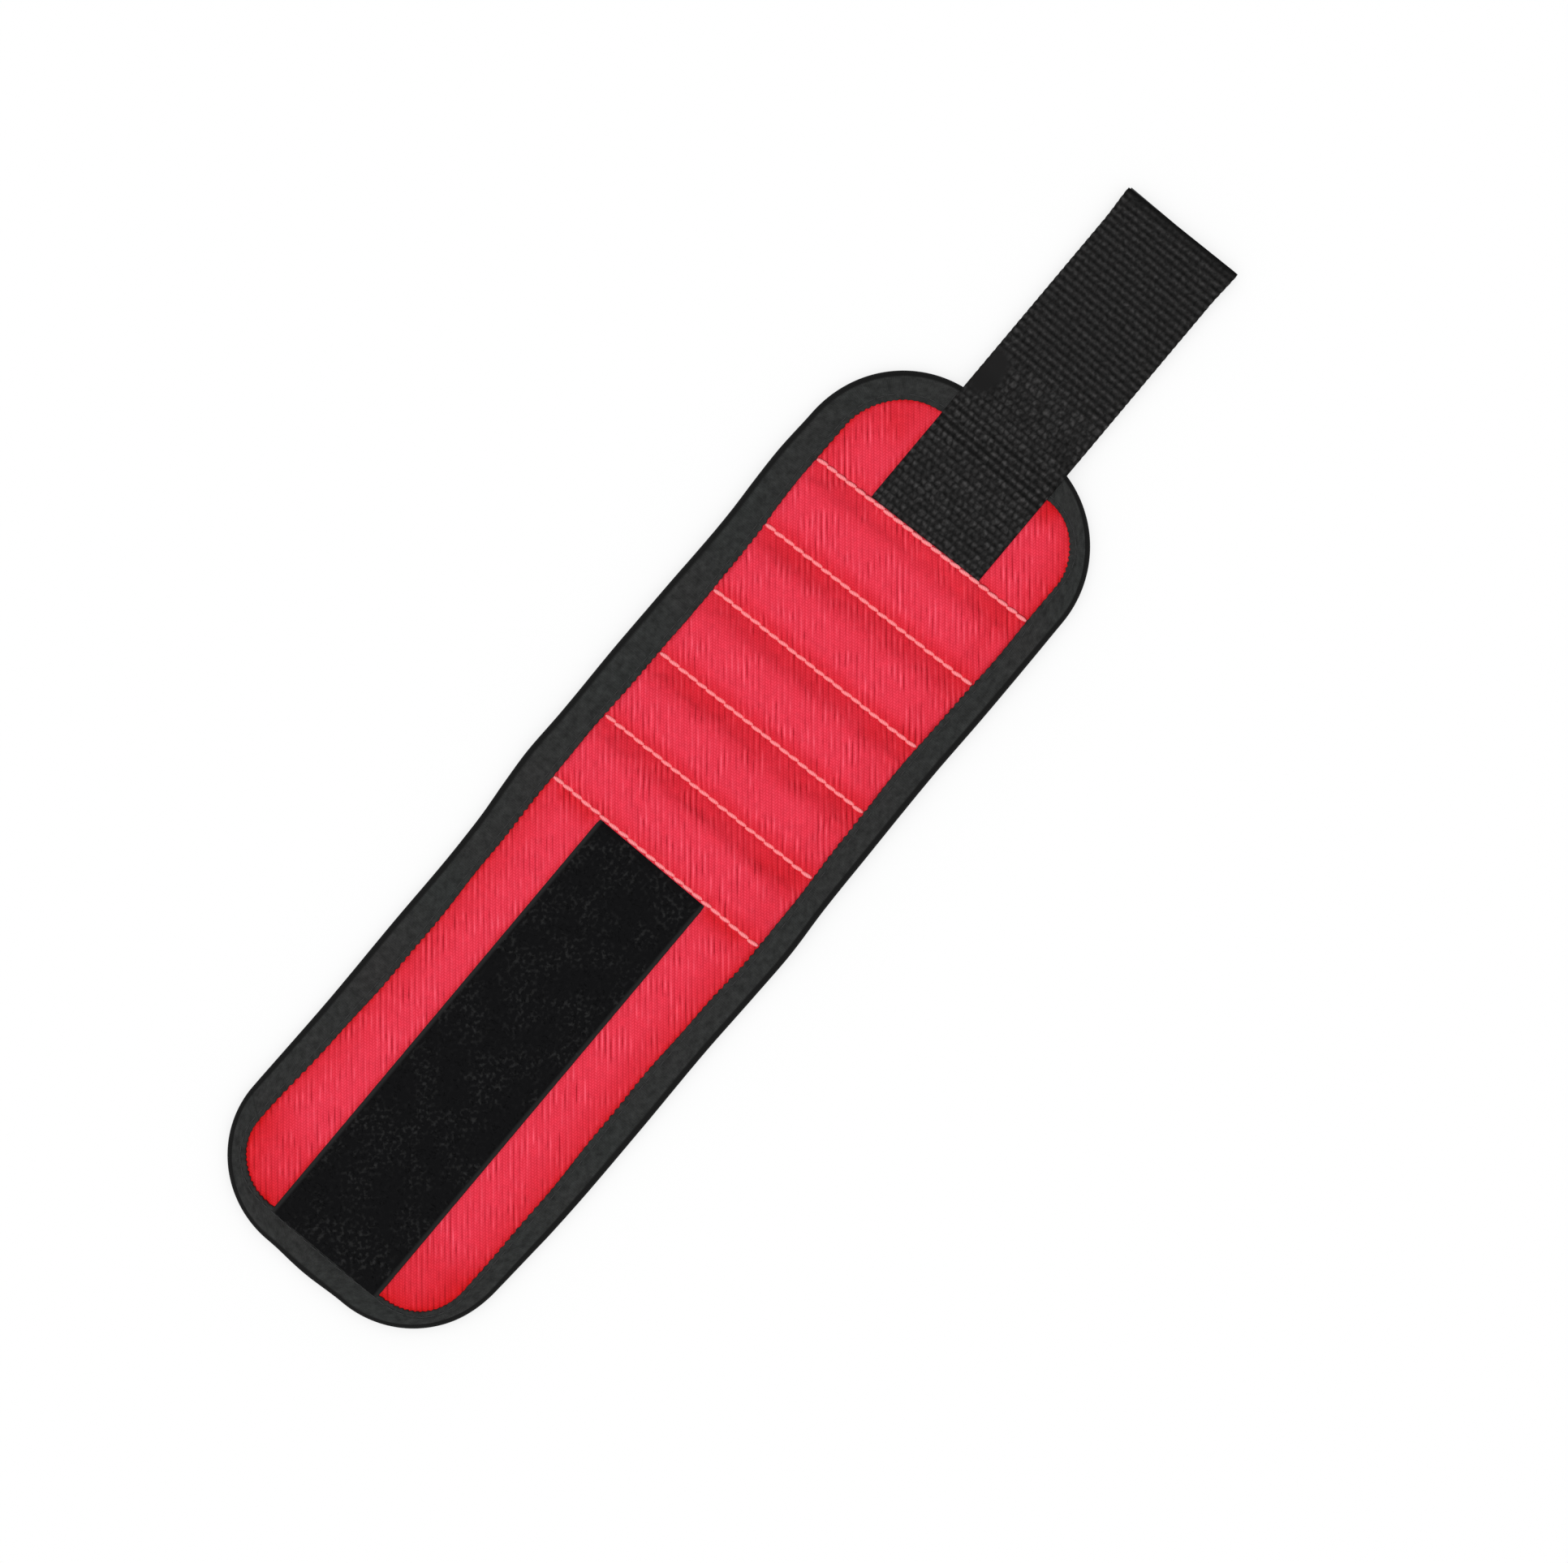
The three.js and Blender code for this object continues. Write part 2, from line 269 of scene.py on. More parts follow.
def mesh_piece(name, parts, material):
    """One object from parts, each with points, UVs, normals, painted shade shares, quads and caps."""
    starts = np.cumsum([0, *(len(p["points"]) for p in parts)])
    points, uv, normals, depth = (
        np.concatenate([p[key] for p in parts]) for key in ("points", "uv", "normals", "depth")
    )
    quads = np.concatenate([p["quads"] + s for p, s in zip(parts, starts)])
    caps = [[i + s for i in cap] for p, s in zip(parts, starts) for cap in p["caps"]]
    mesh = bpy.data.meshes.new(name)
    mesh.from_pydata((points * MM).tolist(), [], quads.tolist() + caps, shade_flat=False)
    corners = np.concatenate([quads.ravel(), *caps]).astype(int)
    mesh.uv_layers.new(name=UV_NAME).data.foreach_set("uv", uv[corners].ravel())
    corner_normals = normals[corners]
    start = quads.size
    for cap in caps:
        ring = points[cap]
        normal = np.cross(ring, np.roll(ring, -1, axis=0)).sum(axis=0)
        corner_normals[start : start + len(cap)] = normal / max(np.linalg.norm(normal), 1e-12)
        start += len(cap)
    mesh.normals_split_custom_set(corner_normals.tolist())
    mesh.attributes.new(SHADE_ATTRIBUTE, "FLOAT", "POINT").data.foreach_set("value", depth)
    mesh.materials.append(material)
    piece = bpy.data.objects.new(name, mesh)
    bpy.context.scene.collection.objects.link(piece)
    return piece


# %% [markdown]
# Three small helpers finish a piece. The first bakes its place into its mesh. The second names the
# imported solids that it stands for and hides them. The third parts a whole layer and does both for
# every slice.


def bend(piece):
    """Bakes a piece's place into its mesh."""
    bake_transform(piece)


def stand_for(k, first, endings):
    """The slice at fold k stands for the body after the fold, and the first one for both."""
    bodies = folds[k][1:] if first else folds[k][2:]
    names = [f"{body}_{ending}" for body in bodies for ending in endings]
    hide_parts(*(name for name in names if name in frame["nodes"]))


def part_layer(name, layer, xs, material, endings, extras=None):
    """Parts a layer at the cuts into slices named by number. Extras gives each slice more parts."""
    made = []
    edges = [xs[0], *(x for x in cut_x if xs[0] < x < xs[-1]), xs[-1]]
    for number, (start, end) in enumerate(zip(edges, edges[1:]), 1):
        k = int(np.searchsorted(cut_x, (start + end) / 2))
        parts = [slice_of(layer, int(np.argmin(abs(xs - start))), int(np.argmin(abs(xs - end))))]
        parts += extras(start, end) if extras else []
        piece = mesh_piece(f"{name}_{number}", parts, material)
        stand_for(k, number == 1, endings)
        bend(piece)
        made.append(piece)
    print(f"{name}: {len(made)} slices, {sum(len(p.data.polygons) for p in made)} faces")
    return made


# %% [markdown]
# ## Small repeated things
#
# Stitches, hooks and loops of pile are bent threads, repeated hundreds of times. Each kind is made once
# as a thin tube along a few points, and then copied to its places with a turn about the upright axis.


# %% A thread as a tube, and its copies
def tube(path, radii, sides):
    """A thread of the given radii along a path of points, as a part with closed ends."""
    path = np.array(path, float)
    along = np.gradient(path, axis=0)
    along /= np.linalg.norm(along, axis=1, keepdims=True)
    side = np.cross(along, (0.0, 0.0, 1.0) if abs(along[:, 2]).max() < 0.9 else (0.0, 1.0, 0.0))
    side /= np.linalg.norm(side, axis=1, keepdims=True)
    up = np.cross(side, along)
    turn = 2 * np.pi * np.arange(sides) / sides
    out = side[:, None] * np.cos(turn)[:, None] + up[:, None] * np.sin(turn)[:, None]
    rings = path[:, None] + out * np.array(radii, float)[:, None, None]
    uv = points_of(run_of(path)[:, None], np.arange(sides) / sides)
    layer = {"rings": rings, "uv": uv, "normals": out, "depth": 0 * uv[..., 0]}
    return slice_of(layer, 0, len(path) - 1)


def copies(part, places, turns, signs=(1, 1, 1)):
    """Copies of a part at places, each turned about Z. Signs of the axes can flip them over."""
    places, turns = np.array(places, float), np.array(turns, float)
    count, size = len(places), len(part["points"])
    spin = np.zeros((count, 3, 3))
    spin[:, 0, 0] = spin[:, 1, 1] = np.cos(turns)
    spin[:, 1, 0] = np.sin(turns)
    spin[:, 0, 1] = -spin[:, 1, 0]
    spin[:, 2, 2] = 1
    spin = spin @ np.diag(signs)
    starts = np.arange(count) * size
    return {
        "points": (part["points"] @ spin.transpose(0, 2, 1) + places[:, None]).reshape(-1, 3),
        "normals": (part["normals"] @ spin.transpose(0, 2, 1)).reshape(-1, 3),
        "uv": np.tile(part["uv"], (count, 1)),
        "depth": np.tile(part["depth"], count),
        "quads": (part["quads"] + starts[:, None, None]).reshape(-1, 4),
        "caps": [[i + s for i in cap] for s in starts for cap in part["caps"]],
    }


def scattered(part, places, turns):
    """A function that gives the copies of a part that stand between two places along the band."""

    def between(start, end):
        chosen = (places[:, 0] >= start) & (places[:, 0] < end)
        return [copies(part, places[chosen], turns[chosen])]

    return between


# %% [markdown]
# ## Finishes
#
# Each finish is drawn by nodes from the UVs, so its scale is the real one: a thread spacing read from
# the photograph in millimetres goes straight into the pattern. One function turns a written colour
# into the linear values that shaders use, one adds a node with what goes into it, and one gives a
# shader its colour and its relief.


# %% Colours and nodes
def linear(code):
    """An sRGB hex colour as linear RGBA."""
    parts = [int(code[i : i + 2], 16) / 255 for i in (1, 3, 5)]
    return (*(c / 12.92 if c <= 0.04045 else ((c + 0.055) / 1.055) ** 2.4 for c in parts), 1.0)


def plug(tree, value, socket):
    """Sets a socket to a value, or links it to an output, or to a node's first output in use."""
    if isinstance(value, bpy.types.Node):
        value = next(output for output in value.outputs if output.enabled)
    if isinstance(value, bpy.types.NodeSocket):
        tree.links.new(value, socket)
    else:
        socket.default_value = value


def add(tree, kind, inputs=None, **settings):
    """Adds a shader node with its settings, and with values, nodes or outputs as inputs."""
    node = tree.nodes.new("ShaderNode" + kind)
    for name, value in settings.items():
        setattr(node, name, value)
    for key, value in (inputs or {}).items():
        plug(tree, value, node.inputs[key])
    return node


def finish_of(name, roughness, ior=1.5, metallic=0.0, gloss=0.5, sheen=0.0):
    """A new material with its Principled shader. Gloss is lower where fibres shade each other."""
    material = bpy.data.materials.new(name)
    material.use_nodes = True
    shader = material.node_tree.nodes["Principled BSDF"]
    shader.inputs["Roughness"].default_value = roughness
    shader.inputs["IOR"].default_value = ior
    shader.inputs["Metallic"].default_value = metallic
    shader.inputs["Specular IOR Level"].default_value = gloss
    shader.inputs["Sheen Weight"].default_value = sheen
    return material, material.node_tree, shader


def dress(tree, shader, colour, height=None, relief=0.0, strength=0.6):
    """Gives the shader its colour, and a height as a relief of so many millimetres."""
    plug(tree, colour, shader.inputs["Base Color"])
    if height is not None:
        bump = {"Height": height, "Distance": relief * MM, "Strength": strength}
        plug(tree, add(tree, "Bump", bump), shader.inputs["Normal"])


# %% [markdown]
# ### Red oxford cloth
#
# The face is a twill: each thread passes over two and under two, one step on in every row, which
# draws slanting ribs, called wales. In the photograph the threads lie 0.62 mm and 0.53 mm apart and
# the wales 1.6 mm, which is what a repeat of four such threads gives. The pattern is worked out as a
# weaver would: which cell of the grid a point lies in, whether the lengthwise or the crosswise thread
# is on top there, and how round that thread is, and the red gets painted shade where the thread
# curves down. Over it, each wale has a thin painted highlight on its crest and a thin painted shade
# in its valley. They come and go in streaks, because no thread is held equally tight everywhere.
# Where the cloth is drawn down into a seam, light bounces from red to red before it gets out, and the
# cloth shows deeper. This is painted shade, and it also lies along the cloth's edges and in its
# dents. Each point carries how much of that painted shade it gets, and the last mix uses that.

# %% Weave the red cloth
THREAD_SPACING = (0.62, 0.525, 1.0)
WALE_ANGLE = math.atan2(THREAD_SPACING[1], THREAD_SPACING[0])
THREAD_RELIEF = 0.08
STREAK = (7.0, 0.9, 1.0)
PATCH = 9.0
# The red, with painted shade where each thread curves down
RED_WITH_THREAD_SHADE = ("#d6293d", "#f03f56")
# A painted highlight on each wale's crest
CREST_HIGHLIGHT = "#fc5d72"
# Painted shade in each wale's valley
VALLEY_SHADE = "#a80f22"
# Painted shade where the cloth is drawn into a fold or lies along an edge
PAINTED_SHADE_TINT = "#e24c4c"


def float_hill(tree, way, start, across):
    """Height of a thread where it floats over two others: round along and across."""
    along = add(tree, "Math", {0: way, 1: math.pi / 2, 2: start}, operation="MULTIPLY_ADD")
    along = add(tree, "Math", {0: along}, operation="SINE")
    return add(tree, "Math", {0: along, 1: across}, operation="MULTIPLY")


def red_oxford():
    """Red twill with painted highlights on its crests and painted shade in its valleys and folds."""
    material, tree, shader = finish_of("red_oxford_twill", 0.75, 1.55, gloss=0.1, sheen=0.06)
    uv = add(tree, "UVMap", uv_map=UV_NAME)
    threads = add(tree, "VectorMath", {0: uv, 1: THREAD_SPACING}, operation="DIVIDE")
    cell = add(tree, "VectorMath", {0: threads}, operation="FLOOR")
    inside = add(tree, "VectorMath", {0: threads}, operation="FRACTION")
    cell = add(tree, "SeparateXYZ", {0: cell})
    place = add(tree, "SeparateXYZ", {0: inside})
    offset = add(tree, "Math", {0: cell.outputs[0], 1: cell.outputs[1]}, operation="SUBTRACT")
    step = add(tree, "Math", {0: offset, 1: 4.0}, operation="FLOORED_MODULO")
    long_up = add(tree, "Math", {0: step, 1: 1.5}, operation="LESS_THAN")
    rounds = add(tree, "VectorMath", {0: inside, 3: math.pi}, operation="SCALE")
    rounds = add(tree, "VectorMath", {0: rounds}, operation="SINE")
    rounds = add(tree, "SeparateXYZ", {0: rounds})
    long_way = add(tree, "Math", {0: place.outputs[1], 1: step}, operation="SUBTRACT")
    cross_way = add(tree, "Math", {0: place.outputs[0], 1: step}, operation="ADD")
    long_hill = float_hill(tree, long_way, math.pi / 2, rounds.outputs[0])
    cross_hill = float_hill(tree, cross_way, -math.pi, rounds.outputs[1])
    relief = add(tree, "Mix", {0: long_up, 2: cross_hill, 3: long_hill})

    # One slanting wave for the wales, and two noises for where their lines show
    flat = add(tree, "SeparateXYZ", {0: threads})
    slant = add(tree, "Math", {0: flat.outputs[0], 1: flat.outputs[1]}, operation="SUBTRACT")
    slant = add(tree, "Math", {0: slant, 1: math.pi / 2}, operation="MULTIPLY")
    wale = add(tree, "Math", {0: slant}, operation="SINE")
    along_wale = {"Vector": uv, "Rotation": (0, 0, WALE_ANGLE), "Scale": STREAK}
    along_wale = add(tree, "Mapping", along_wale, vector_type="TEXTURE")
    streaks = add(tree, "TexNoise", {"Vector": along_wale, "Scale": 1.0, "Detail": 1.5})
    patches = add(tree, "TexNoise", {"Vector": uv, "Scale": 1 / PATCH, "Detail": 2.0})
    patch = add(tree, "MapRange", {0: patches, 1: 0.38, 2: 0.62, 3: 0.15, 4: 1.0})
    pale = add(tree, "MapRange", {0: streaks, 1: 0.40, 2: 0.62})
    deep = add(tree, "MapRange", {0: streaks, 1: 0.60, 2: 0.40})
    crest_highlight = add(tree, "MapRange", {0: wale, 1: 0.35, 2: 1.0})
    valley_shade = add(tree, "MapRange", {0: wale, 1: -0.45, 2: -1.0})
    fold_shade = add(tree, "Attribute", attribute_name=SHADE_ATTRIBUTE).outputs["Fac"]
    shaded = add(tree, "Math", {0: patch, 1: fold_shade}, operation="MAXIMUM")
    for share in (pale, patch):
        crest_highlight = add(tree, "Math", {0: crest_highlight, 1: share}, operation="MULTIPLY")
    for share in (deep, shaded):
        valley_shade = add(tree, "Math", {0: valley_shade, 1: share}, operation="MULTIPLY")
    cloud = add(tree, "TexNoise", {"Vector": uv, "Scale": 0.6, "Detail": 3.0, "Roughness": 0.6})
    cloudy = add(tree, "MapRange", {0: cloud, 1: 0.3, 2: 0.7, 3: 0.92, 4: 1.06})

    thread_shaded_red = add(tree, "Mix", {0: relief, 6: linear(RED_WITH_THREAD_SHADE[0]), 7: linear(RED_WITH_THREAD_SHADE[1])}, data_type="RGBA")
    colour = add(tree, "Mix", {0: crest_highlight, 6: thread_shaded_red, 7: linear(CREST_HIGHLIGHT)}, data_type="RGBA")
    colour = add(tree, "Mix", {0: valley_shade, 6: colour, 7: linear(VALLEY_SHADE)}, data_type="RGBA")
    tint = {0: fold_shade, 6: colour, 7: linear(PAINTED_SHADE_TINT)}
    colour = add(tree, "Mix", tint, data_type="RGBA", blend_type="MULTIPLY")
    colour = add(tree, "HueSaturation", {"Color": colour, "Value": cloudy})
    dress(tree, shader, colour, relief, THREAD_RELIEF)
    return material


red_cloth = red_oxford()
print("red cloth: wales at", round(math.degrees(WALE_ANGLE)), "degrees")

# %% [markdown]
# ### Polyester binding tape
#
# Binding is a plain woven tape with fine cross ribs about half a millimetre apart, folded over the
# edge. The photograph shows it dark grey and slightly mottled, nearly black where it turns over the
# edge and faces away from the light, and that black is painted shade. The UV's second number is the
# distance from that turn, so the painted rim shade needs no mask.

# %% Weave the binding tape
BINDING_RIB = 0.55
# Painted shade on the turn over the edge: where it starts and ends, and how dark it gets
RIM_SHADE_REACH = (2.2, 3.0)
RIM_SHADE_BLACK = "#020202"


def binding_tape():
    """Dark, slightly mottled tape with fine cross ribs and painted shade on its rim."""
    material, tree, shader = finish_of("polyester_binding", 0.8, 1.55, gloss=0.13)
    uv = add(tree, "UVMap", uv_map=UV_NAME)
    place = add(tree, "SeparateXYZ", {0: uv})
    turn = 2 * math.pi / BINDING_RIB
    phase = add(tree, "Math", {0: place.outputs[0], 1: turn}, operation="MULTIPLY")
    ribs = add(tree, "Math", {0: phase}, operation="SINE")
    mottle = {"Vector": uv, "Scale": 0.45, "Detail": 5.0, "Roughness": 0.65}
    mottle = add(tree, "TexNoise", mottle)
    fine = add(tree, "TexNoise", {"Vector": uv, "Scale": 1.9, "Detail": 3.0})
    drift = add(tree, "TexNoise", {"Vector": uv, "Scale": 0.03, "Detail": 1.0})
    cold_warm = add(tree, "Mix", {0: drift, 6: linear("#212524"), 7: linear("#262424")}, data_type="RGBA")
    edge = add(tree, "Math", {0: place.outputs[1]}, operation="ABSOLUTE")
    rim_shade = {0: edge, 1: RIM_SHADE_REACH[0], 2: RIM_SHADE_REACH[1], 3: 1.0, 4: 0.0}
    rim_shade = add(tree, "MapRange", rim_shade, interpolation_type="SMOOTHSTEP")
    colour = add(tree, "Mix", {0: rim_shade, 6: cold_warm, 7: linear(RIM_SHADE_BLACK)}, data_type="RGBA")
    tone = add(tree, "MapRange", {0: mottle, 1: 0.32, 2: 0.7, 3: 0.55, 4: 1.7})
    grain = add(tree, "MapRange", {0: fine, 1: 0.3, 2: 0.7, 3: 0.86, 4: 1.14})
    rib_tone = add(tree, "Math", {0: ribs, 1: 0.07, 2: 1.0}, operation="MULTIPLY_ADD")
    value = tone
    for share in (grain, rib_tone):
        value = add(tree, "Math", {0: value, 1: share}, operation="MULTIPLY")
    colour = add(tree, "HueSaturation", {"Color": colour, "Value": value})
    height = add(tree, "Math", {0: fine, 1: ribs}, operation="ADD")
    dress(tree, shader, colour, height, 0.05)
    return material


binding_black = binding_tape()

# %% [markdown]
# ### Loop pile
#
# Loop tape is a brushed nylon pile. It swallows light, so it is the darkest surface of the object,
# and only tufts of curls catch some, in patches. Real loops of thread are added on the pile later.

# %% Brush the loop tape
CURL_SIZE = 1.3
SELVEDGE = (17.6, 18.3)
LOOP_BLACK = ("#111112", "#2d2d2d")


def loop_pile():
    """A dark brushed pile with paler curls in patches, and paler selvedges."""
    material, tree, shader = finish_of("brushed_nylon_loop", 1.0, 1.53, gloss=0.03)
    uv = add(tree, "UVMap", uv_map=UV_NAME)
    curls = add(tree, "TexNoise", {"Vector": uv, "Scale": 1 / CURL_SIZE, "Detail": 3.0})
    line = add(tree, "MapRange", {0: curls, 1: 0.50, 2: 0.72})
    patches = add(tree, "TexNoise", {"Vector": uv, "Scale": 0.10, "Detail": 2.0})
    patch = add(tree, "MapRange", {0: patches, 1: 0.42, 2: 0.60, 3: 0.10, 4: 0.9})
    line = add(tree, "Math", {0: line, 1: patch}, operation="MULTIPLY")
    place = add(tree, "SeparateXYZ", {0: uv})
    across = add(tree, "Math", {0: place.outputs[1], 1: 0.5}, operation="ADD")
    across = add(tree, "Math", {0: across}, operation="ABSOLUTE")
    selvedge = add(tree, "MapRange", {0: across, 1: SELVEDGE[0], 2: SELVEDGE[1], 3: 0.0, 4: 0.7})
    line = add(tree, "Math", {0: line, 1: selvedge}, operation="MAXIMUM")
    dark, light = map(linear, LOOP_BLACK)
    colour = add(tree, "Mix", {0: line, 6: dark, 7: light}, data_type="RGBA")
    dress(tree, shader, colour, curls, 0.5, 0.5)
    return material


loop_black = loop_pile()

# %% [markdown]
# ### Ribbed webbing
#
# The strap is polypropylene webbing. Its thick crosswise yarns make ribs 2.27 mm apart, deepest where
# the strap is pulled over the binding, faint where it is sewn down, and gone just past the edge,
# where only the grain of the yarns shows. The ribs are real waves in the mesh, and each point carries
# how deep they are there. The finish draws short floats of yarn, laid like bricks with a row to each
# rib and each a little out of line, each with a painted highlight, and paints shade into the valleys
# between the ribs. Towards the tip the floats run together into plain ribs.

# %% Weave the strap's face
RIB = 2.27
FLOAT_SIZE = (RIB, 2.0, 1.0)
FLOAT_STRAY = (1.2, 2.4, 0.0)
FLOATS_FADE = (128.0, 142.0)
RUBBED_AT = (125.0, 15.5, 0.0)
RUBBED_SIZE = (7.5, 4.5, 1.0)
SEALED_END = (187.2, 188.6)
# From painted shade on the black yarn up to painted highlights on the floats
WEBBING_SHADE_AND_HIGHLIGHT = ("#050505", "#424141")


def webbing_face():
    """Black webbing with painted highlights on floats of yarn that fade into plain ribs towards the tip."""
    material, tree, shader = finish_of("ribbed_webbing", 0.65, 1.49, gloss=0.04)
    uv = add(tree, "UVMap", uv_map=UV_NAME)
    along = add(tree, "SeparateXYZ", {0: uv}).outputs[0]

    # Short floats of yarn, each caught by the light to its own degree
    stray = add(tree, "TexNoise", {"Vector": uv, "Scale": 0.45, "Detail": 1.0}).outputs["Color"]
    stray = add(tree, "VectorMath", {0: stray, 1: FLOAT_STRAY, 2: uv}, operation="MULTIPLY_ADD")
    bricks = add(tree, "VectorMath", {0: stray, 1: FLOAT_SIZE}, operation="DIVIDE")
    bricks = add(tree, "VectorMath", {0: bricks, 1: (0.5, 0, 0)}, operation="ADD")
    rows = add(tree, "SeparateXYZ", {0: bricks})
    row = add(tree, "Math", {0: rows.outputs[0]}, operation="FLOOR")
    shift = add(tree, "Math", {0: row, 1: 0.5}, operation="MULTIPLY")
    shift = add(tree, "CombineXYZ", {1: shift})
    bricks = add(tree, "VectorMath", {0: bricks, 1: shift}, operation="ADD")
    brick = add(tree, "VectorMath", {0: bricks}, operation="FLOOR")
    within = add(tree, "VectorMath", {0: bricks}, operation="FRACTION")
    chance = add(tree, "TexWhiteNoise", {"Vector": brick}, noise_dimensions="2D")
    caught = add(tree, "MapRange", {0: chance, 3: 0.3, 4: 1.0})
    rounds = add(tree, "VectorMath", {0: within, 3: math.pi}, operation="SCALE")
    rounds = add(tree, "VectorMath", {0: rounds}, operation="SINE")
    rounds = add(tree, "SeparateXYZ", {0: rounds})
    hill = add(tree, "Math", {0: rounds.outputs[0], 1: rounds.outputs[1]}, operation="MULTIPLY")
    floats = add(tree, "Math", {0: hill, 1: caught, 2: 0.02}, operation="MULTIPLY_ADD")
    merged = {0: along, 1: FLOATS_FADE[0], 2: FLOATS_FADE[1], 3: 0.45, 4: 0.82}
    merged = add(tree, "MapRange", merged)
    floats = add(tree, "Mix", {0: merged, 2: floats, 3: 0.245})
    uneven = add(tree, "TexNoise", {"Vector": uv, "Scale": 0.9, "Detail": 2.0})
    uneven = add(tree, "MapRange", {0: uneven, 1: 0.3, 2: 0.7, 3: 0.35, 4: 1.75})
    floats = add(tree, "Math", {0: floats, 1: uneven}, operation="MULTIPLY")

    # Painted shade in the valleys between the ribs, as deep as the mesh has them
    phase = add(tree, "Math", {0: along, 1: 2 * math.pi / RIB}, operation="MULTIPLY")
    wave = add(tree, "Math", {0: phase}, operation="COSINE")
    valley_shade = add(tree, "MapRange", {0: wave, 1: -1.0, 2: 1.0, 3: -0.65, 4: 0.5})
    deep = add(tree, "Attribute", attribute_name=SHADE_ATTRIBUTE).outputs["Fac"]
    ribs = add(tree, "Math", {0: valley_shade, 1: deep, 2: 1.0}, operation="MULTIPLY_ADD")
    painted_light_and_wear = add(tree, "Math", {0: floats, 1: ribs}, operation="MULTIPLY")

    # A spot near the edge where the face is rubbed smooth, and the end that a hot knife sealed
    rubbed = add(tree, "VectorMath", {0: uv, 1: RUBBED_AT}, operation="SUBTRACT")
    rubbed = add(tree, "VectorMath", {0: rubbed, 1: RUBBED_SIZE}, operation="DIVIDE")
    rubbed = add(tree, "VectorMath", {0: rubbed}, operation="LENGTH")
    woven = add(tree, "MapRange", {0: rubbed, 1: 0.7, 2: 1.2})
    painted_light_and_wear = add(tree, "Mix", {0: woven, 2: 0.18, 3: painted_light_and_wear})
    sealed = {0: along, 1: SEALED_END[0], 2: SEALED_END[1], 3: 1.0, 4: 0.3}
    sealed = add(tree, "MapRange", sealed)
    painted_light_and_wear = add(tree, "Math", {0: painted_light_and_wear, 1: sealed}, operation="MULTIPLY")
    dark, light = map(linear, WEBBING_SHADE_AND_HIGHLIGHT)
    colour = add(tree, "Mix", {0: painted_light_and_wear, 6: dark, 7: light}, data_type="RGBA")
    dress(tree, shader, colour, painted_light_and_wear, 0.2)
    return material


webbing_black = webbing_face()

# %% [markdown]
# ### Hooks, lining, thread and nickel
#
# Hook tape is extruded nylon and shines a little. The lining is an air mesh, a knit with round holes
# in staggered rows. The holes are too many to cut, so they are drawn as dimples with painted shade in
# them, from two oblong grids, one set between the other. The thread is twisted polyester, with painted
# shade in the grooves between its plies, and the magnets are plated with nickel, though the pockets
# hide them.

# %% Finish the hooks, the lining, the threads and the magnets
MESH_HOLE_SPACING = 3.2
MESH_HOLE_RADIUS = 0.75
THREAD_TWIST = 0.9


def hook_nylon():
    """Smooth black nylon with a faint grain."""
    material, tree, shader = finish_of("extruded_nylon_hooks", 0.42, 1.53, gloss=0.3)
    uv = add(tree, "UVMap", uv_map=UV_NAME)
    grain = add(tree, "TexNoise", {"Vector": uv, "Scale": 0.8, "Detail": 3.0})
    dark, light = linear("#141415"), linear("#212122")
    dress(tree, shader, add(tree, "Mix", {0: grain, 6: dark, 7: light}, data_type="RGBA"))
    return material


def air_mesh():
    """Black knit with staggered round holes, drawn as dimples with painted shade in them."""
    material, tree, shader = finish_of("air_mesh_lining", 0.9, 1.5, gloss=0.1)
    uv = add(tree, "UVMap", uv_map=UV_NAME)
    pitch = (MESH_HOLE_SPACING, MESH_HOLE_SPACING * math.sqrt(3), 1.0)
    away = []
    for shift in ((0.0, 0.0, 0.0), (0.5, 0.5, 0.0)):
        grid = add(tree, "VectorMath", {0: uv, 1: pitch}, operation="DIVIDE")
        grid = add(tree, "VectorMath", {0: grid, 1: shift}, operation="ADD")
        grid = add(tree, "VectorMath", {0: grid}, operation="FRACTION")
        grid = add(tree, "VectorMath", {0: grid, 1: (0.5, 0.5, 0.0)}, operation="SUBTRACT")
        grid = add(tree, "VectorMath", {0: grid, 1: pitch}, operation="MULTIPLY")
        away.append(add(tree, "VectorMath", {0: grid}, operation="LENGTH"))
    nearest = add(tree, "Math", {0: away[0], 1: away[1]}, operation="MINIMUM")
    knit = {0: nearest, 1: MESH_HOLE_RADIUS * 0.7, 2: MESH_HOLE_RADIUS * 1.2}
    knit = add(tree, "MapRange", knit, interpolation_type="SMOOTHSTEP")
    hole_shade, yarn = linear("#0a0a0b"), linear("#3a3a3d")
    colour = add(tree, "Mix", {0: knit, 6: hole_shade, 7: yarn}, data_type="RGBA")
    dress(tree, shader, colour, knit, 0.5, 0.8)
    return material


def twisted_thread(name, pale, deep):
    """Thread whose plies wind round it, with painted shade in the grooves between them."""
    material, tree, shader = finish_of(name, 0.55, 1.55, gloss=0.2)
    uv = add(tree, "UVMap", uv_map=UV_NAME)
    place = add(tree, "SeparateXYZ", {0: uv})
    turns = add(tree, "Math", {0: place.outputs[0], 1: 1 / THREAD_TWIST}, operation="MULTIPLY")
    turns = add(tree, "Math", {0: turns, 1: place.outputs[1]}, operation="ADD")
    phase = add(tree, "Math", {0: turns, 1: 4 * math.pi}, operation="MULTIPLY")
    ply = add(tree, "Math", {0: phase}, operation="SINE")
    ply = add(tree, "MapRange", {0: ply, 1: -1.0, 2: 0.4})
    colour = add(tree, "Mix", {0: ply, 6: linear(deep), 7: linear(pale)}, data_type="RGBA")
    dress(tree, shader, colour, ply, 0.06)
    return material


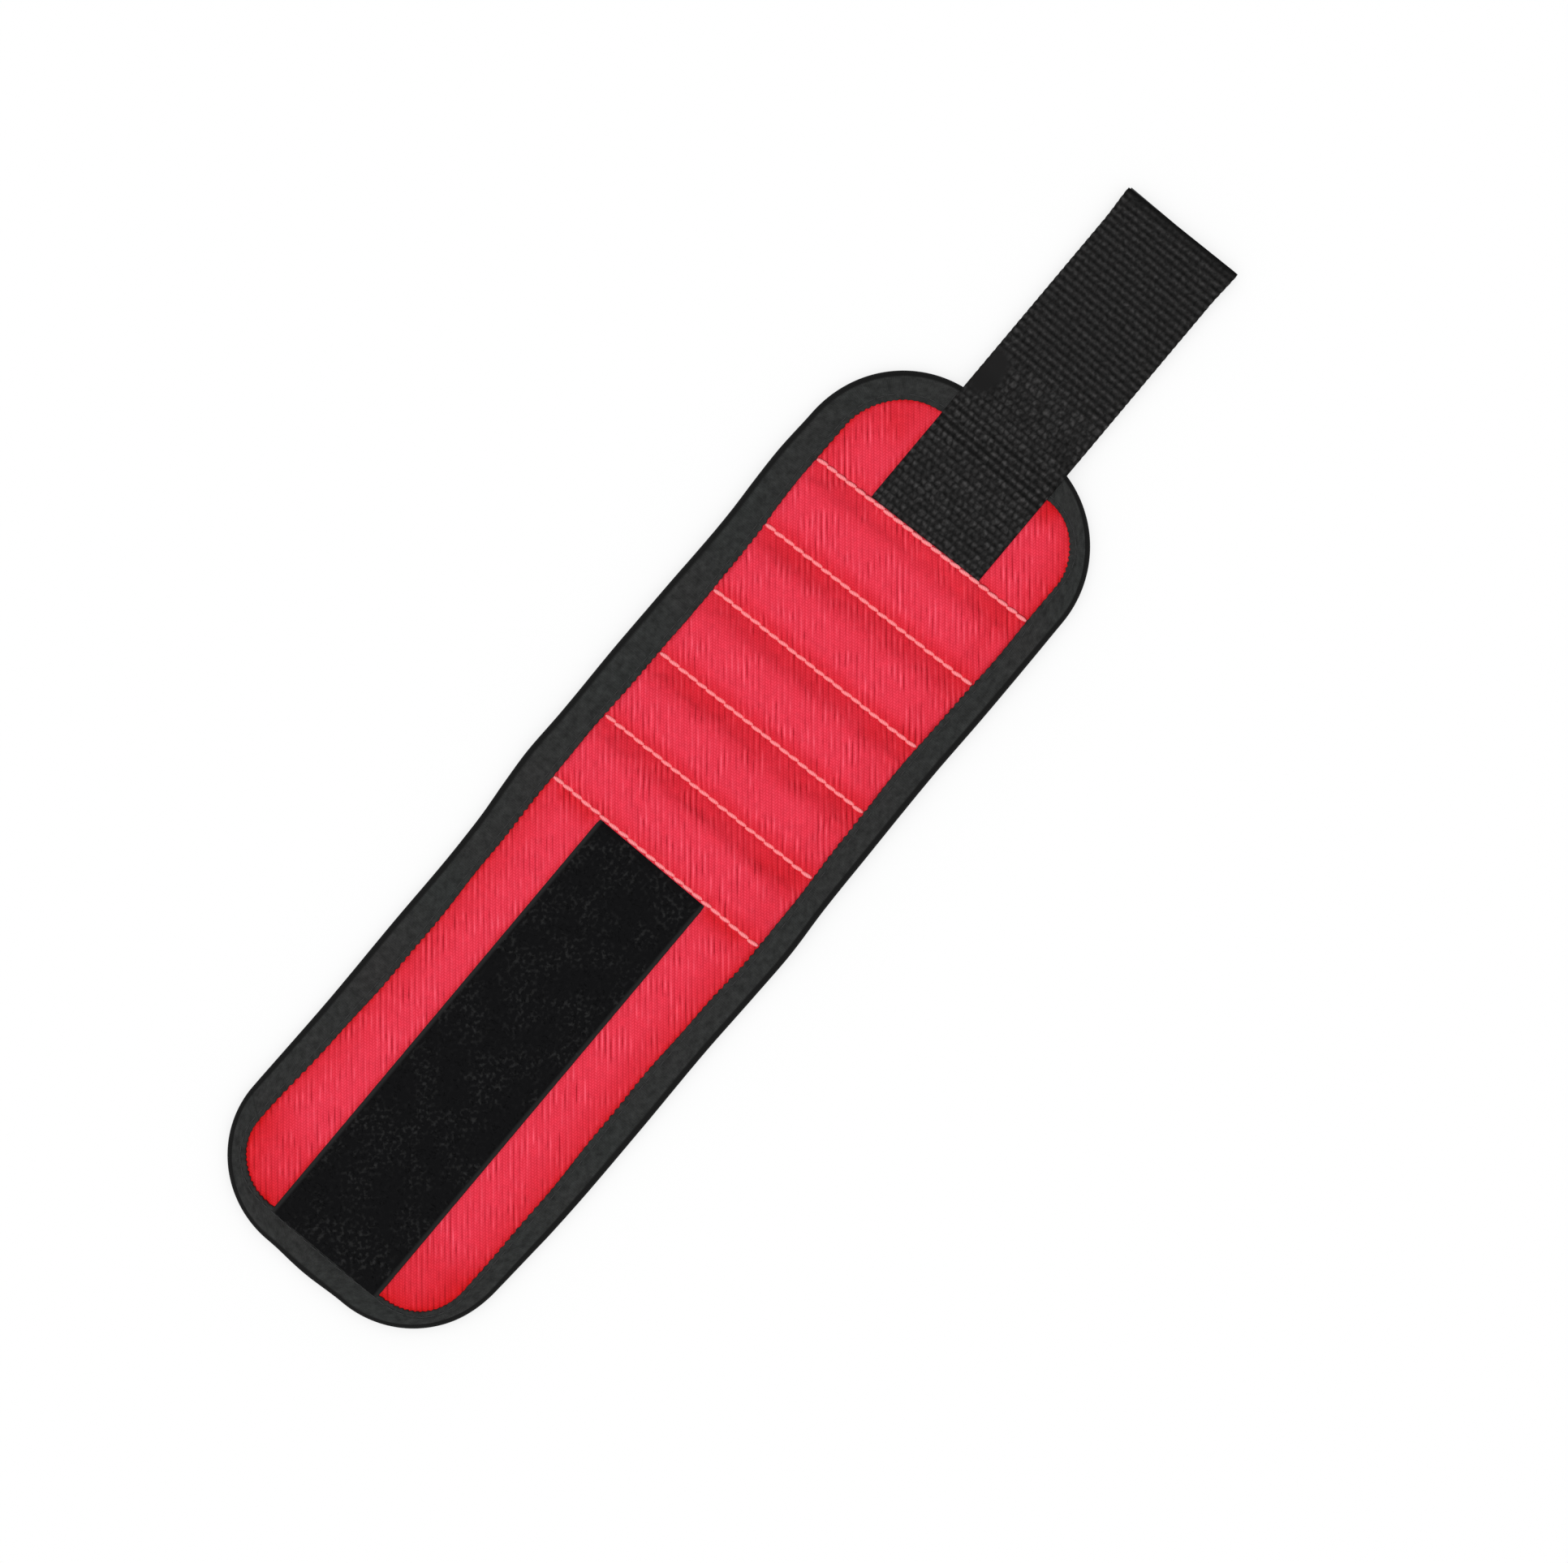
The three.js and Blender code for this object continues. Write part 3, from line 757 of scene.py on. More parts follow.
def nickel_plate():
    """Bright nickel with a slight haze."""
    material, tree, shader = finish_of("nickel_plate", 0.22, metallic=1.0)
    place = add(tree, "TexCoord")
    haze = add(tree, "TexNoise", {"Vector": place.outputs["Object"], "Scale": 300.0})
    dark, light = linear("#bdb8ae"), linear("#cfcbc3")
    dress(tree, shader, add(tree, "Mix", {0: haze, 6: dark, 7: light}, data_type="RGBA"))
    return material


hook_black = hook_nylon()
mesh_black = air_mesh()
# Each thread's deeper colour is painted shade in the grooves between its plies
pale_thread = twisted_thread("pale_red_thread", "#ff989b", "#e8656e")
black_thread = twisted_thread("black_thread", "#282929", "#1c1c1d")
nickel = nickel_plate()
print("finishes:", [m.name for m in bpy.data.materials if m.use_nodes])

# %% [markdown]
# ## Outline
#
# The binding's outer edge and the edge of the cloth inside it are read from the photograph as half
# widths at a few places along the band, on each side. A hand-sewn edge isn't straight: it swells at the
# first seam, where the pocket panel's hem thickens the band, and the tape is wider in some places than
# in others. The ends are quarter rounds.

# %% Read the edges
TAIL_CORNER = (29.9, 30.5)
HEAD_CORNER = (33.0, 33.0)
TAIL_CLOTH_CORNER = 16.0
HEAD_CLOTH_CORNER = {"left": 20.5, "right": 17.0}
TAIL_CLOTH_X = TAIL_X + 9.0
HEAD_CLOTH_X = HEAD_X - 9.6
TAIL_BOW = 0.6
OUTER_EDGE = {
    "left": [
        *((-190, 44.8), (-172, 44.8), (-158, 44.7), (-145, 44.4), (-130, 44.1), (-100, 44.2), (-70, 44.2)),
        *((-60, 44.6), (-50, 45.5), (-40, 46.2), (-25, 46.0), (0, 46.2), (20, 46.0), (50, 45.8)),
        *((60, 46.3), (70, 46.6), (84, 46.1), (118, 46.0)),
    ],
    "right": [
        *((-190, 43.6), (-175, 43.6), (-162, 43.7), (-154, 44.2), (-146, 44.7), (-138, 45.2), (-130, 45.5)),
        *((-100, 45.8), (-70, 45.7), (-50, 46.2), (-35, 46.4), (-20, 45.6), (0, 45.2), (30, 44.8)),
        *((50, 45.1), (70, 45.1), (84, 45.0), (118, 45.0)),
    ],
}
CLOTH_EDGE = {
    "left": [
        *((-181, 37.2), (-165, 37.3), (-150, 36.6), (-130, 35.5), (-100, 34.8), (-70, 35.4), (-30, 36.2)),
        *((10, 35.6), (40, 35.6), (60, 36.5), (70, 36.9), (88, 36.5), (108, 36.5)),
    ],
    "right": [
        *((-181, 36.8), (-165, 36.8), (-138, 37.3), (-80, 36.8), (-60, 37.4), (-45, 38.0), (-30, 38.0)),
        *((-10, 37.2), (30, 36.2), (50, 36.8), (70, 37.2), (88, 37.0), (108, 37.0)),
    ],
}
SIGN = {"left": 1.0, "right": -1.0}


def quarter_loss(reach, radius):
    """How much narrower a rounded end is at a distance from its tip."""
    inside = np.clip(radius - reach, 0, radius)
    return radius - np.sqrt(radius**2 - inside**2)


def band_half(side, x, inset=0.0):
    """The band's half width on one side, moved in by an inset."""
    tail = quarter_loss(np.maximum(x - TAIL_X - inset, 0), TAIL_CORNER[1] - inset)
    head = quarter_loss(np.maximum(HEAD_X - inset - x, 0), HEAD_CORNER[1] - inset)
    return traced(OUTER_EDGE[side], x) - inset - tail - head


def cloth_half(side, x):
    """The half width of the cloth that shows on one side."""
    tail = quarter_loss(np.maximum(x - TAIL_CLOTH_X, 0), TAIL_CLOTH_CORNER)
    head = quarter_loss(np.maximum(HEAD_CLOTH_X - x, 0), HEAD_CLOTH_CORNER[side])
    return traced(CLOTH_EDGE[side], x) - tail - head


print("widths at the first seam:", [round(float(band_half(s, FIRST_SEAM)), 1) for s in SIGN])

# %% [markdown]
# ## Heights
#
# The layers lie on each other, so each one's height follows from those below, in the thicknesses that
# the solids have: 2 mm of foam and mesh, 0.6 mm of cloth, 1.6 mm of loop tape, 1.5 mm of webbing. Over
# the pockets the binding also wraps the pocket panel, so it stands 0.6 mm higher there.

# %% Heights of the layers
BINDING = 0.6
CLOTH = 0.6
PAD_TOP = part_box("tail_2_front_panel")[0].z / MM
CLOTH_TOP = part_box("tail_2_front_panel")[1].z / MM
LOOP_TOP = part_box("tail_2_loop_tape")[1].z / MM
WEBBING_UNDER, WEBBING_TOP = (corner.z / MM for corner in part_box("strap_tip_webbing"))
TAIL_BINDING_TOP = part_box("tail_1_binding")[1].z / MM
POCKET_BINDING_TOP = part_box("pocket_3_binding_left")[1].z / MM
PANEL_REST = CLOTH_TOP + CLOTH
HEM = 0.8
POCKET_RUN_OUT = 5.0
SEAM_GATHER = 0.35
LOOP_HALF = {"left": 18.3, "right": 19.3}
STRAP_HALF = {"left": 18.1, "right": 19.4}


def pocket_share(x):
    """1 where the pocket panel lies, 0 on the tail and the head."""
    start, end = FIRST_SEAM - POCKET_RUN_OUT, LAST_SEAM + POCKET_RUN_OUT
    return eased([(start, 0), (FIRST_SEAM, 1), (LAST_SEAM, 1), (end, 0)], x)


def binding_top(x):
    """Height of the binding's upper leaf, a little lower at the seams, which draw it in."""
    swell = np.abs(np.sin(np.pi * (x - FIRST_SEAM) / (seam_x[1] - seam_x[0]))) - 0.5
    pockets = POCKET_BINDING_TOP - TAIL_BINDING_TOP + SEAM_GATHER * swell
    under_strap = eased([(98, 0), (106, 0.1)], x)
    return TAIL_BINDING_TOP + pocket_share(x) * pockets - under_strap


TAIL_SEAM_DIP = 0.8
HEAD_SEAM_DIP = 0.35
BESIDE_TAPE = 19.5
CLOTH_SINK = 0.12
CLOTH_CROWN = 0.75
CLOTH_SWELLS = (0.32, 15)
END_RUN = 9.0


def seam_dip(x, y):
    """How far the outer seams draw the cloth and its foam down beside the hems."""
    beside_tape = eased([(19.0, 0), (21.0, 1), (31.0, 1), (36.0, 0.3)], np.abs(y))
    before = np.exp(-(((x - FIRST_SEAM + 0.5) / 4.5) ** 2))
    after = np.exp(-(((x - LAST_SEAM - 0.5) / 3.5) ** 2))
    return beside_tape * (TAIL_SEAM_DIP * before + HEAD_SEAM_DIP * after)


def cloth_outer(x, y):
    """The half width of the cloth on the side of each point."""
    return np.where(y > 0, cloth_half("left", x), cloth_half("right", x))


def cloth_top(x, y):
    """Height of the red cloth on the tail and the head, softly crowned beside the tapes."""
    outer = cloth_outer(x, y)
    share = np.clip((np.abs(y) - BESIDE_TAPE) / np.maximum(outer - BESIDE_TAPE, 4.0), 0, 1)
    from_end = np.clip(np.minimum(x - TAIL_CLOTH_X, HEAD_CLOTH_X - x) / END_RUN, 0, 1)
    crown = CLOTH_CROWN * np.sin(np.pi * share) * (np.abs(y) < outer) * from_end * (2 - from_end)
    swells = CLOTH_SWELLS[0] * waves(x, y, CLOTH_SWELLS[1]) * np.sin(np.pi * share)
    return CLOTH_TOP - CLOTH_SINK + crown + swells - seam_dip(x, y)


# %% [markdown]
# The cloth is painted darker, as painted shade, in a thin ragged line along the binding with a wide
# soft one behind it, along the tape, beside the outer seams, towards the tail's end and at two spots
# beside the strap's root. The right side gets a little painted shade all along. Each value is the
# share of the painted shade tint that it takes there to give the photograph's tone.

# %% Painted shade on the laid cloth
# Shares of painted shade: binding line and band, tape line, hem, tail's end, right side, two spots
EDGE_SHADE_LINE = (0.85, 2.4)
EDGE_SHADE = (0.5, 9.0)
TAPE_SHADE_LINE = (0.5, 18.8, 0.9)
HEM_SHADE = 0.7
TAIL_END_SHADE = (0.35, -156, 9)
RIGHT_SHADE = 0.08
STRAP_SHADES = [(97, 25, 6, 5, 0.0, 0.5), (105, -22, 4, 3, 0.0, 0.4)]


def cloth_painted_shade(x, y):
    """How much painted shade the cloth gets at its edges, beside the tapes and beside the outer seams."""
    ends = np.minimum(x - TAIL_CLOTH_X, HEAD_CLOTH_X - x)
    inside = np.minimum(cloth_outer(x, y) - np.abs(y), ends)
    ragged = inside + 0.4 * np.sin(1.7 * x) * np.sin(1.3 * y + 1)
    lines = [
        EDGE_SHADE_LINE[0] * (1 - ragged / EDGE_SHADE_LINE[1]),
        EDGE_SHADE[0] * (1 - inside / EDGE_SHADE[1]),
        TAPE_SHADE_LINE[0] * np.exp(-(((np.abs(y) - TAPE_SHADE_LINE[1]) / TAPE_SHADE_LINE[2]) ** 2)),
        HEM_SHADE * seam_dip(x, y) / TAIL_SEAM_DIP,
    ]
    shade_at_tail_end = TAIL_END_SHADE[0] * np.clip((TAIL_END_SHADE[1] - x) / TAIL_END_SHADE[2], 0, 1)
    soft = shade_at_tail_end + soft_spots(x, y, STRAP_SHADES) + np.where(y > 0, 0.0, RIGHT_SHADE)
    return np.clip(np.maximum.reduce(lines) + soft, 0, 1)


print("layers in mm: pad", PAD_TOP, "cloth", CLOTH_TOP, "loop", LOOP_TOP, "strap", WEBBING_TOP)

# %% [markdown]
# ## Cloth slabs
#
# A cloth is a thin slab: a grid of points for its face, another for its back, and a rounded rim. The
# tail and the head get theirs straight from the height function, because sewn cloth that lies flat
# has no folds to simulate.


# %% A slab from a face and a back
def slab(face, back, uv, depth=None):
    """A closed layer from two grids of points that run along the band and across it."""
    depth = np.zeros(face.shape[:2]) if depth is None else depth
    middle = (face + back) / 2
    bulge = np.minimum(0.35 * np.linalg.norm(face - back, axis=-1), 0.25)
    left_rim = middle[:, -1:] + bulge[:, -1:, None] * np.array((0, 1, 0))
    right_rim = middle[:, :1] - bulge[:, :1, None] * np.array((0, 1, 0))
    rings = np.concatenate([face, left_rim, back[:, ::-1], right_rim], axis=1)
    ring_uv, ring_depth = (
        np.concatenate([values, values[:, -1:], values[:, ::-1], values[:, :1]], axis=1)
        for values in (uv, depth)
    )
    return layer_of(rings, ring_uv, ring_depth)


def grid(xs, left, right, count):
    """Points across the band at each place, from the right edge to the left, as X and Y grids."""
    left, right = (np.broadcast_to(half, xs.shape)[:, None] for half in (left, right))
    y = -right + (left + right) * np.linspace(0, 1, count)
    return np.broadcast_to(xs[:, None], y.shape), y


# %% Lay the front panel on the tail and the head
PANEL_INSET = 1.6


def front_panel(name, start, end):
    """The red cloth between two places along the band, as slices."""
    xs = stations(start, end, 1.0)
    x, y = grid(xs, *(band_half(side, xs, PANEL_INSET) for side in SIGN), 100)
    top = cloth_top(x, y)
    layer = slab(points_of(x, y, top), points_of(x, y, top - CLOTH), points_of(x, y), cloth_painted_shade(x, y))
    return part_layer(name, layer, xs, red_cloth, ["front_panel"])


tail_cloth = front_panel("tail_front_panel", TAIL_X + PANEL_INSET + 0.2, FIRST_SEAM + 3)
head_cloth = front_panel("head_front_panel", LAST_SEAM - 3, HEAD_X - PANEL_INSET - 0.2)

# %% [markdown]
# ## Pocket panel
#
# A second red cloth covers the middle. It is hemmed at both ends, where it also traps the ends of the
# loop tape and the strap, and six rows of stitches close five pockets. Cloth sewn down at its seams
# and lying over full pockets is what a cloth simulation does well: the seams and edges are pinned, the
# cloth is cut a little large, and it settles under gravity on what fills them. The solver is tuned to
# things a metre in size, so the panel is simulated at twenty times its size.

# %% Lay out the panel before it settles
PANEL_STEP = 1.3
PANEL_HOLD = 2.2
SEAM_TILT = (0.0, 0.024, 0.028, 0.030, 0.032, 0.034)
CROWN = (3.55, 3.6, 3.6, 3.6, 3.55)
SEAM_SINK = 0.75
SEWN_LEVEL = PANEL_REST - CLOTH / 2 - SEAM_SINK
HEM_LIFT = 0.75
OVER_LOOP = 0.95
OVER_STRAP = 0.85

panel_x = stations(FIRST_SEAM - HEM, LAST_SEAM + HEM, PANEL_STEP)
tilt = np.interp(panel_x, seam_x, SEAM_TILT)
hold_left = cloth_half("left", panel_x) + PANEL_HOLD
hold_right = cloth_half("right", panel_x) + PANEL_HOLD
panel_gx, panel_gy = grid(panel_x, hold_left, hold_right, 63)
panel_gx = panel_gx - tilt[:, None] * panel_gy
panel_uv = points_of(panel_gx, panel_gy)


def tape_lift(y, half):
    """How far a tape under a hem lifts it, fading out at the tape's edges."""
    rise = eased([(-half["right"] - 1.2, 0), (-half["right"] + 0.6, 1)], y)
    fall = eased([(half["left"] - 0.6, 1), (half["left"] + 1.2, 0)], y)
    return rise * fall


def seam_level(x, y):
    """Height of the panel's middle where it is sewn down: low at the inner seams, high at the hems."""
    near_tail = np.exp(-(((x - FIRST_SEAM) / 3.0) ** 2))
    near_head = np.exp(-(((x - LAST_SEAM) / 3.0) ** 2))
    over_loop = near_tail * (HEM_LIFT + OVER_LOOP * tape_lift(y, LOOP_HALF))
    over_strap = near_head * (HEM_LIFT + OVER_STRAP * tape_lift(y, STRAP_HALF))
    to_binding = cloth_outer(x, y) - np.abs(y)
    return SEWN_LEVEL + (over_loop + over_strap) * eased([(-0.5, 0.1), (2.5, 1)], to_binding)


def pocket_arch(share):
    """Section of a pocket between its seams: a steep rise, a flat top over the bars, a long slope."""
    rise = np.sin(np.pi / 2 * np.clip(share / 0.25, 0, 1))
    shoulder = 1 - 0.07 * eased([(0.58, 0), (0.72, 1)], share)
    slope = np.interp(share, [0.70, 0.96, 1.0], [1.0, 0.22, 0.0])
    return rise * shoulder * slope


number = np.clip(np.searchsorted(seam_x, panel_x, side="right") - 1, 0, 4)
share = np.clip((panel_x - seam_x[number]) / (seam_x[number + 1] - seam_x[number]), 0, 1)
arch = pocket_arch(share) * np.array(CROWN)[number]
to_edge = np.minimum(hold_left[:, None] - panel_gy, hold_right[:, None] + panel_gy)
ends_share = np.sqrt(np.clip((to_edge - PANEL_HOLD + 0.6) / 9.0, 0, 1))
panel_z = seam_level(panel_gx, panel_gy) + arch[:, None] * ends_share
panel_start = points_of(panel_gx, panel_gy, panel_z)
pinned = (share[:, None] == 0) | (share[:, None] == 1) | (to_edge < PANEL_HOLD - 0.4)
print("panel grid:", panel_start.shape[:2], "of which pinned", int(pinned.sum()))

# %% [markdown]
# Each pocket holds two bars of 30 by 10 by 2 mm, with small rounded edges, end to end. In the
# photograph no edge of a bar shows through, so the bars must lie in some soft filling. The cloth
# settles on the form of the filled pockets, and only its slack makes the folds.


# %% Bars with rounded edges
def rounded_bar(name, low, high, radius):
    """A bar between two corners in millimetres, with rounded edges."""
    form = bmesh.new()
    bmesh.ops.create_cube(form, size=1.0)
    low, high = Vector(low), Vector(high)
    for vertex in form.verts:
        share = vertex.co + Vector((0.5, 0.5, 0.5))
        vertex.co = Vector(low[i] + (high[i] - low[i]) * share[i] for i in range(3))
    bmesh.ops.bevel(form, geom=form.edges[:], offset=radius, segments=3, profile=0.5, affect="EDGES")
    bmesh.ops.scale(form, vec=Vector((1, 1, 1)) * MM, verts=form.verts)
    mesh = bpy.data.meshes.new(name)
    form.to_mesh(mesh)
    form.free()
    mesh.shade_smooth()
    bar = bpy.data.objects.new(name, mesh)
    bpy.context.scene.collection.objects.link(bar)
    return bar


magnet_boxes = {
    name: [[v / MM for v in corner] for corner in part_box(name)]
    for name in frame["nodes"]
    if "_magnet_" in name
}
for name, (low, high) in magnet_boxes.items():
    bar = rounded_bar(f"{name}_bar", low, high, 0.35)
    bar.data.materials.append(nickel)
    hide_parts(name)
    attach(bar, "_".join(name.split("_")[:2]))
print("magnets:", len(magnet_boxes), "bars of", [round(h - l, 1) for l, h in zip(low, high)], "mm")

# %% Settle the cloth over the filled pockets
SOLVER_SCALE = 20.0
SETTLE_FRAMES = 24
SLACK = 0.022
FILLING_GAP = 0.38


def grid_object(name, points):
    """A plain sheet of quads through a grid of points, at the solver's scale."""
    n, m, _ = points.shape
    here = np.arange(n * m).reshape(n, m)
    quads = np.stack([here[:-1, :-1], here[1:, :-1], here[1:, 1:], here[:-1, 1:]], axis=-1)
    mesh = bpy.data.meshes.new(name)
    scaled = points.reshape(-1, 3) * MM * SOLVER_SCALE
    mesh.from_pydata(scaled.tolist(), [], quads.reshape(-1, 4).tolist())
    sheet = bpy.data.objects.new(name, mesh)
    bpy.context.scene.collection.objects.link(sheet)
    return sheet


def settle(start_points, pinned):
    """Lets a pinned cloth come to rest on the filling, and returns where its points lie."""
    scene = bpy.context.scene
    cloth = grid_object("settling_cloth", start_points)
    filling = grid_object("filling", start_points - np.array((0, 0, FILLING_GAP)))
    filling.modifiers.new("Collision", "COLLISION")
    filling.collision.thickness_outer = 0.1 * MM * SOLVER_SCALE
    sewn = cloth.vertex_groups.new(name="sewn")
    sewn.add(np.flatnonzero(pinned.ravel()).tolist(), 1.0, "REPLACE")
    modifier = cloth.modifiers.new("Cloth", "CLOTH")
    fabric = modifier.settings
    fabric.quality = 7
    fabric.mass = 0.4
    fabric.tension_stiffness = 40
    fabric.compression_stiffness = 40
    fabric.shear_stiffness = 12
    fabric.bending_stiffness = 4.0
    fabric.vertex_group_mass = "sewn"
    fabric.shrink_min = -SLACK
    modifier.collision_settings.distance_min = 0.15 * MM * SOLVER_SCALE
    modifier.collision_settings.collision_quality = 3
    modifier.point_cache.frame_end = SETTLE_FRAMES
    for number in range(1, SETTLE_FRAMES + 1):
        scene.frame_set(number)
    settled = cloth.evaluated_get(bpy.context.evaluated_depsgraph_get()).data
    points = np.zeros(start_points.size, np.float32)
    settled.vertices.foreach_get("co", points)
    for helper in (cloth, filling):
        bpy.data.objects.remove(helper)
    scene.frame_set(1)
    return points.reshape(start_points.shape).astype(float) / (MM * SOLVER_SCALE)


panel_points = settle(panel_start, pinned)
panel_points[..., 2] = np.maximum(panel_points[..., 2], SEWN_LEVEL)
lift = panel_points[..., 2] - panel_start[..., 2]
print(f"panel settled: moved between {lift.min():.2f} and {lift.max():.2f} mm")

# %% [markdown]
# The photograph also shows dents that come from handling: the sides of the pockets that face the head
# are pressed in, most of all low on the first pocket and at places on the second and the third. These
# are listed one by one, as soft hollows pressed into the settled cloth.

# %% Press the handling dents into the panel
MAGNET_GAP = 0.1
MAGNET_SLOPE = 1.2
DENTS = [
    (-20.5, -25.0, 3.0, 7.5, 0.10, 1.0),
    (-20.5, 2.0, 2.6, 14.0, 0.0, 0.35),
    (2.5, 20.0, 3.4, 13.0, 0.12, 0.75),
    (1.0, -1.0, 4.6, 6.5, -0.25, 0.55),
    (2.5, -17.0, 3.2, 9.0, 0.35, 0.6),
    (26.5, -24.0, 3.4, 4.0, 0.5, 0.8),
    (26.8, 4.0, 2.6, 16.0, 0.0, 0.35),
    (49.5, 22.0, 3.2, 12.0, 0.05, 0.6),
    (46.0, -10.0, 2.2, 11.0, 0.7, 0.3),
    (72.5, -20.0, 3.2, 12.0, 0.15, 0.55),
    (66.0, -30.0, 7.0, 3.6, 0.2, 0.5),
]


def pressed(points):
    """Presses the dents into the points that aren't sewn down."""
    free = np.clip(points[..., 2] - seam_level(points[..., 0], points[..., 1]), 0, None)
    room = np.clip(free / 1.5, 0, 1)
    dents = soft_spots(points[..., 0], points[..., 1], DENTS)
    return points - points_of(0, 0, dents * room)


def kept_off_magnets(points):
    """Lifts the points that a dent pressed into a magnet, and slopes down beside it."""
    points = points.copy()
    for low, high in magnet_boxes.values():
        out_x = np.maximum(np.maximum(low[0] - points[..., 0], points[..., 0] - high[0]), 0)
        out_y = np.maximum(np.maximum(low[1] - points[..., 1], points[..., 1] - high[1]), 0)
        level = high[2] + CLOTH / 2 + MAGNET_GAP - MAGNET_SLOPE * np.hypot(out_x, out_y)
        points[..., 2] = np.where(pinned, points[..., 2], np.maximum(points[..., 2], level))
    return points


def smoothed(points, rounds):
    """Evens out the points that aren't sewn, so that no crease is sharper than a thread."""
    points = points.copy()
    for _ in range(rounds):
        padded = np.pad(points, ((1, 1), (1, 1), (0, 0)), mode="edge")
        around = (padded[:-2, 1:-1] + padded[2:, 1:-1] + padded[1:-1, :-2] + padded[1:-1, 2:]) / 4
        points = np.where(pinned[..., None], points, 0.5 * points + 0.5 * around)
    return points


panel_middle = kept_off_magnets(smoothed(pressed(panel_points), 2))
print("panel height over the pockets:", round(float(panel_middle[..., 2].max()), 2), "mm")

# %% [markdown]
# The settled grid is coarse, as a simulation has to be. Each step of it is divided in three by a smooth
# curve through its points, and the result gets the cloth's thickness along its own normals. At the
# two hems the cloth is folded under, so it is twice as thick there and its edge is round. The cloth's
# painted shade is nought on the crown of a pocket and grows down both of its sides.


# %% Refine the panel and give it its thickness
def refined(values, factor, axis):
    """Values on a finer grid, along a smooth curve through the coarse ones."""
    values = np.moveaxis(values, axis, 0)
    n = len(values)
    t = np.linspace(0, n - 1, (n - 1) * factor + 1)
    i = np.minimum(t.astype(int), n - 2)
    f = (t - i).reshape(-1, *[1] * (values.ndim - 1))
    before = np.maximum(i - 1, 0)
    after = np.minimum(i + 2, n - 1)
    a, b, c, d = values[before], values[i], values[i + 1], values[after]
    fine = b + 0.5 * f * (c - a + f * (2 * a - 5 * b + 4 * c - d + f * (3 * (b - c) + d - a)))
    return np.moveaxis(fine, 0, axis)


FINER = 3
# Painted shade on the panel: down the pocket sides, along the binding, on the right side, in the dents
POCKET_SHADE = 0.5
SHADE_CURVE = {"tail side": 0.5, "head side": 0.35}
PANEL_EDGE_SHADE = (0.55, 1.4)
RIGHT_END_SHADE = 0.2
DENT_SHADE = 0.25

curve = np.where(share < 0.5, SHADE_CURVE["tail side"], SHADE_CURVE["head side"])
pocket_side_shade = POCKET_SHADE * (1 - pocket_arch(share)) ** curve
binding_edge_shade = PANEL_EDGE_SHADE[0] * np.clip(1 - (to_edge - PANEL_HOLD) / PANEL_EDGE_SHADE[1], 0, 1)
panel_painted_shade = np.maximum(pocket_side_shade[:, None], binding_edge_shade)
panel_painted_shade += RIGHT_END_SHADE * eased([(-36, 1), (-20, 0)], panel_gy)
panel_painted_shade += DENT_SHADE * soft_spots(panel_middle[..., 0], panel_middle[..., 1], DENTS)
# The third grid refined here is the panel's painted shade, which the slab carries as its depth
middle, uv, depth = (
    refined(refined(values, FINER, 0), FINER, 1)
    for values in (panel_middle, panel_uv, np.clip(panel_painted_shade, 0, 1))
)
fine_x = refined(panel_x, FINER, 0)
slope = np.cross(np.gradient(middle, axis=0), np.gradient(middle, axis=1))
slope /= np.linalg.norm(slope, axis=-1, keepdims=True)
to_fold = np.minimum(fine_x - fine_x[0], fine_x[-1] - fine_x)
round_end = 1 - (1 - np.clip(to_fold / CLOTH, 0, 1)) ** 2
round_end = np.sqrt(np.clip(round_end, 0.02, 1))[:, None, None]
hem_under = eased([(0, CLOTH), (2.4, CLOTH), (3.6, 0)], to_fold)[:, None, None]
face = middle + slope * CLOTH / 2 * round_end
back = middle - slope * (CLOTH / 2 * round_end) - np.array((0, 0, 1.0)) * hem_under * round_end
panel = slab(face, back, uv, depth)
panel_pieces = part_layer("pocket_panel", panel, fine_x, red_cloth, ["cover"])

# %% [markdown]
# ## Stitches
#
# Six rows of pale red thread hold the panel down. A machine stitch about 3.3 mm long dips into the
# cloth at both ends, so each one is a short arched thread with thinner ends, and the row follows the
# seam's slight slant. The twist of the thread turns each stitch a little out of the row.

# %% Sew the pocket seams
STITCH = 3.3
THREAD_RADIUS = 0.62
THREAD_SLANT = 0.12
THREAD_LIFT = 0.22
FLIPPED = (1, -1, -1)


def stitch(length, radius):
    """One stitch along Y, arched, with its ends sunk into the cloth."""
    y = np.linspace(-0.5, 0.5, 7) * length
    arch = np.sqrt(np.clip(np.cos(np.pi * y / length), 0, 1))
    rise = 0.30 * arch - 0.14
    radii = radius * (0.5 + 0.5 * arch)
    return tube(points_of(0, y, rise), radii, 8)


def seam_height(k, y):
    """Height of the panel's face along seam k."""
    column = int(np.argmin(abs(fine_x - seam_x[k])))
    return np.interp(y, face[column, :, 1], face[column, :, 2])


long_stitch = stitch(STITCH * 0.98, THREAD_RADIUS)
for k, x in enumerate(seam_x):
    top_end = float(cloth_half("left", x)) - 0.3
    low_end = -float(cloth_half("right", x)) + 0.3
    count = round((top_end - low_end) / STITCH)
    pitch = (top_end - low_end) / count
    y = low_end + pitch * (np.arange(count) + 0.5)
    wander = 0.07 * np.sin(y * 1.9 + k) + 0.05 * np.sin(y * 0.7 + 2 * k)
    places = points_of(x - SEAM_TILT[k] * y + wander, y, seam_height(k, y) + THREAD_LIFT)
    turns = math.atan(SEAM_TILT[k]) + THREAD_SLANT + 0.04 * np.sin(3.1 * y)
    row = [copies(long_stitch, places, turns)]
    bend(mesh_piece(f"seam_stitches_{k + 1}", row, pale_thread))
print("seam rows:", len(seam_x), "with", count, "stitches each")

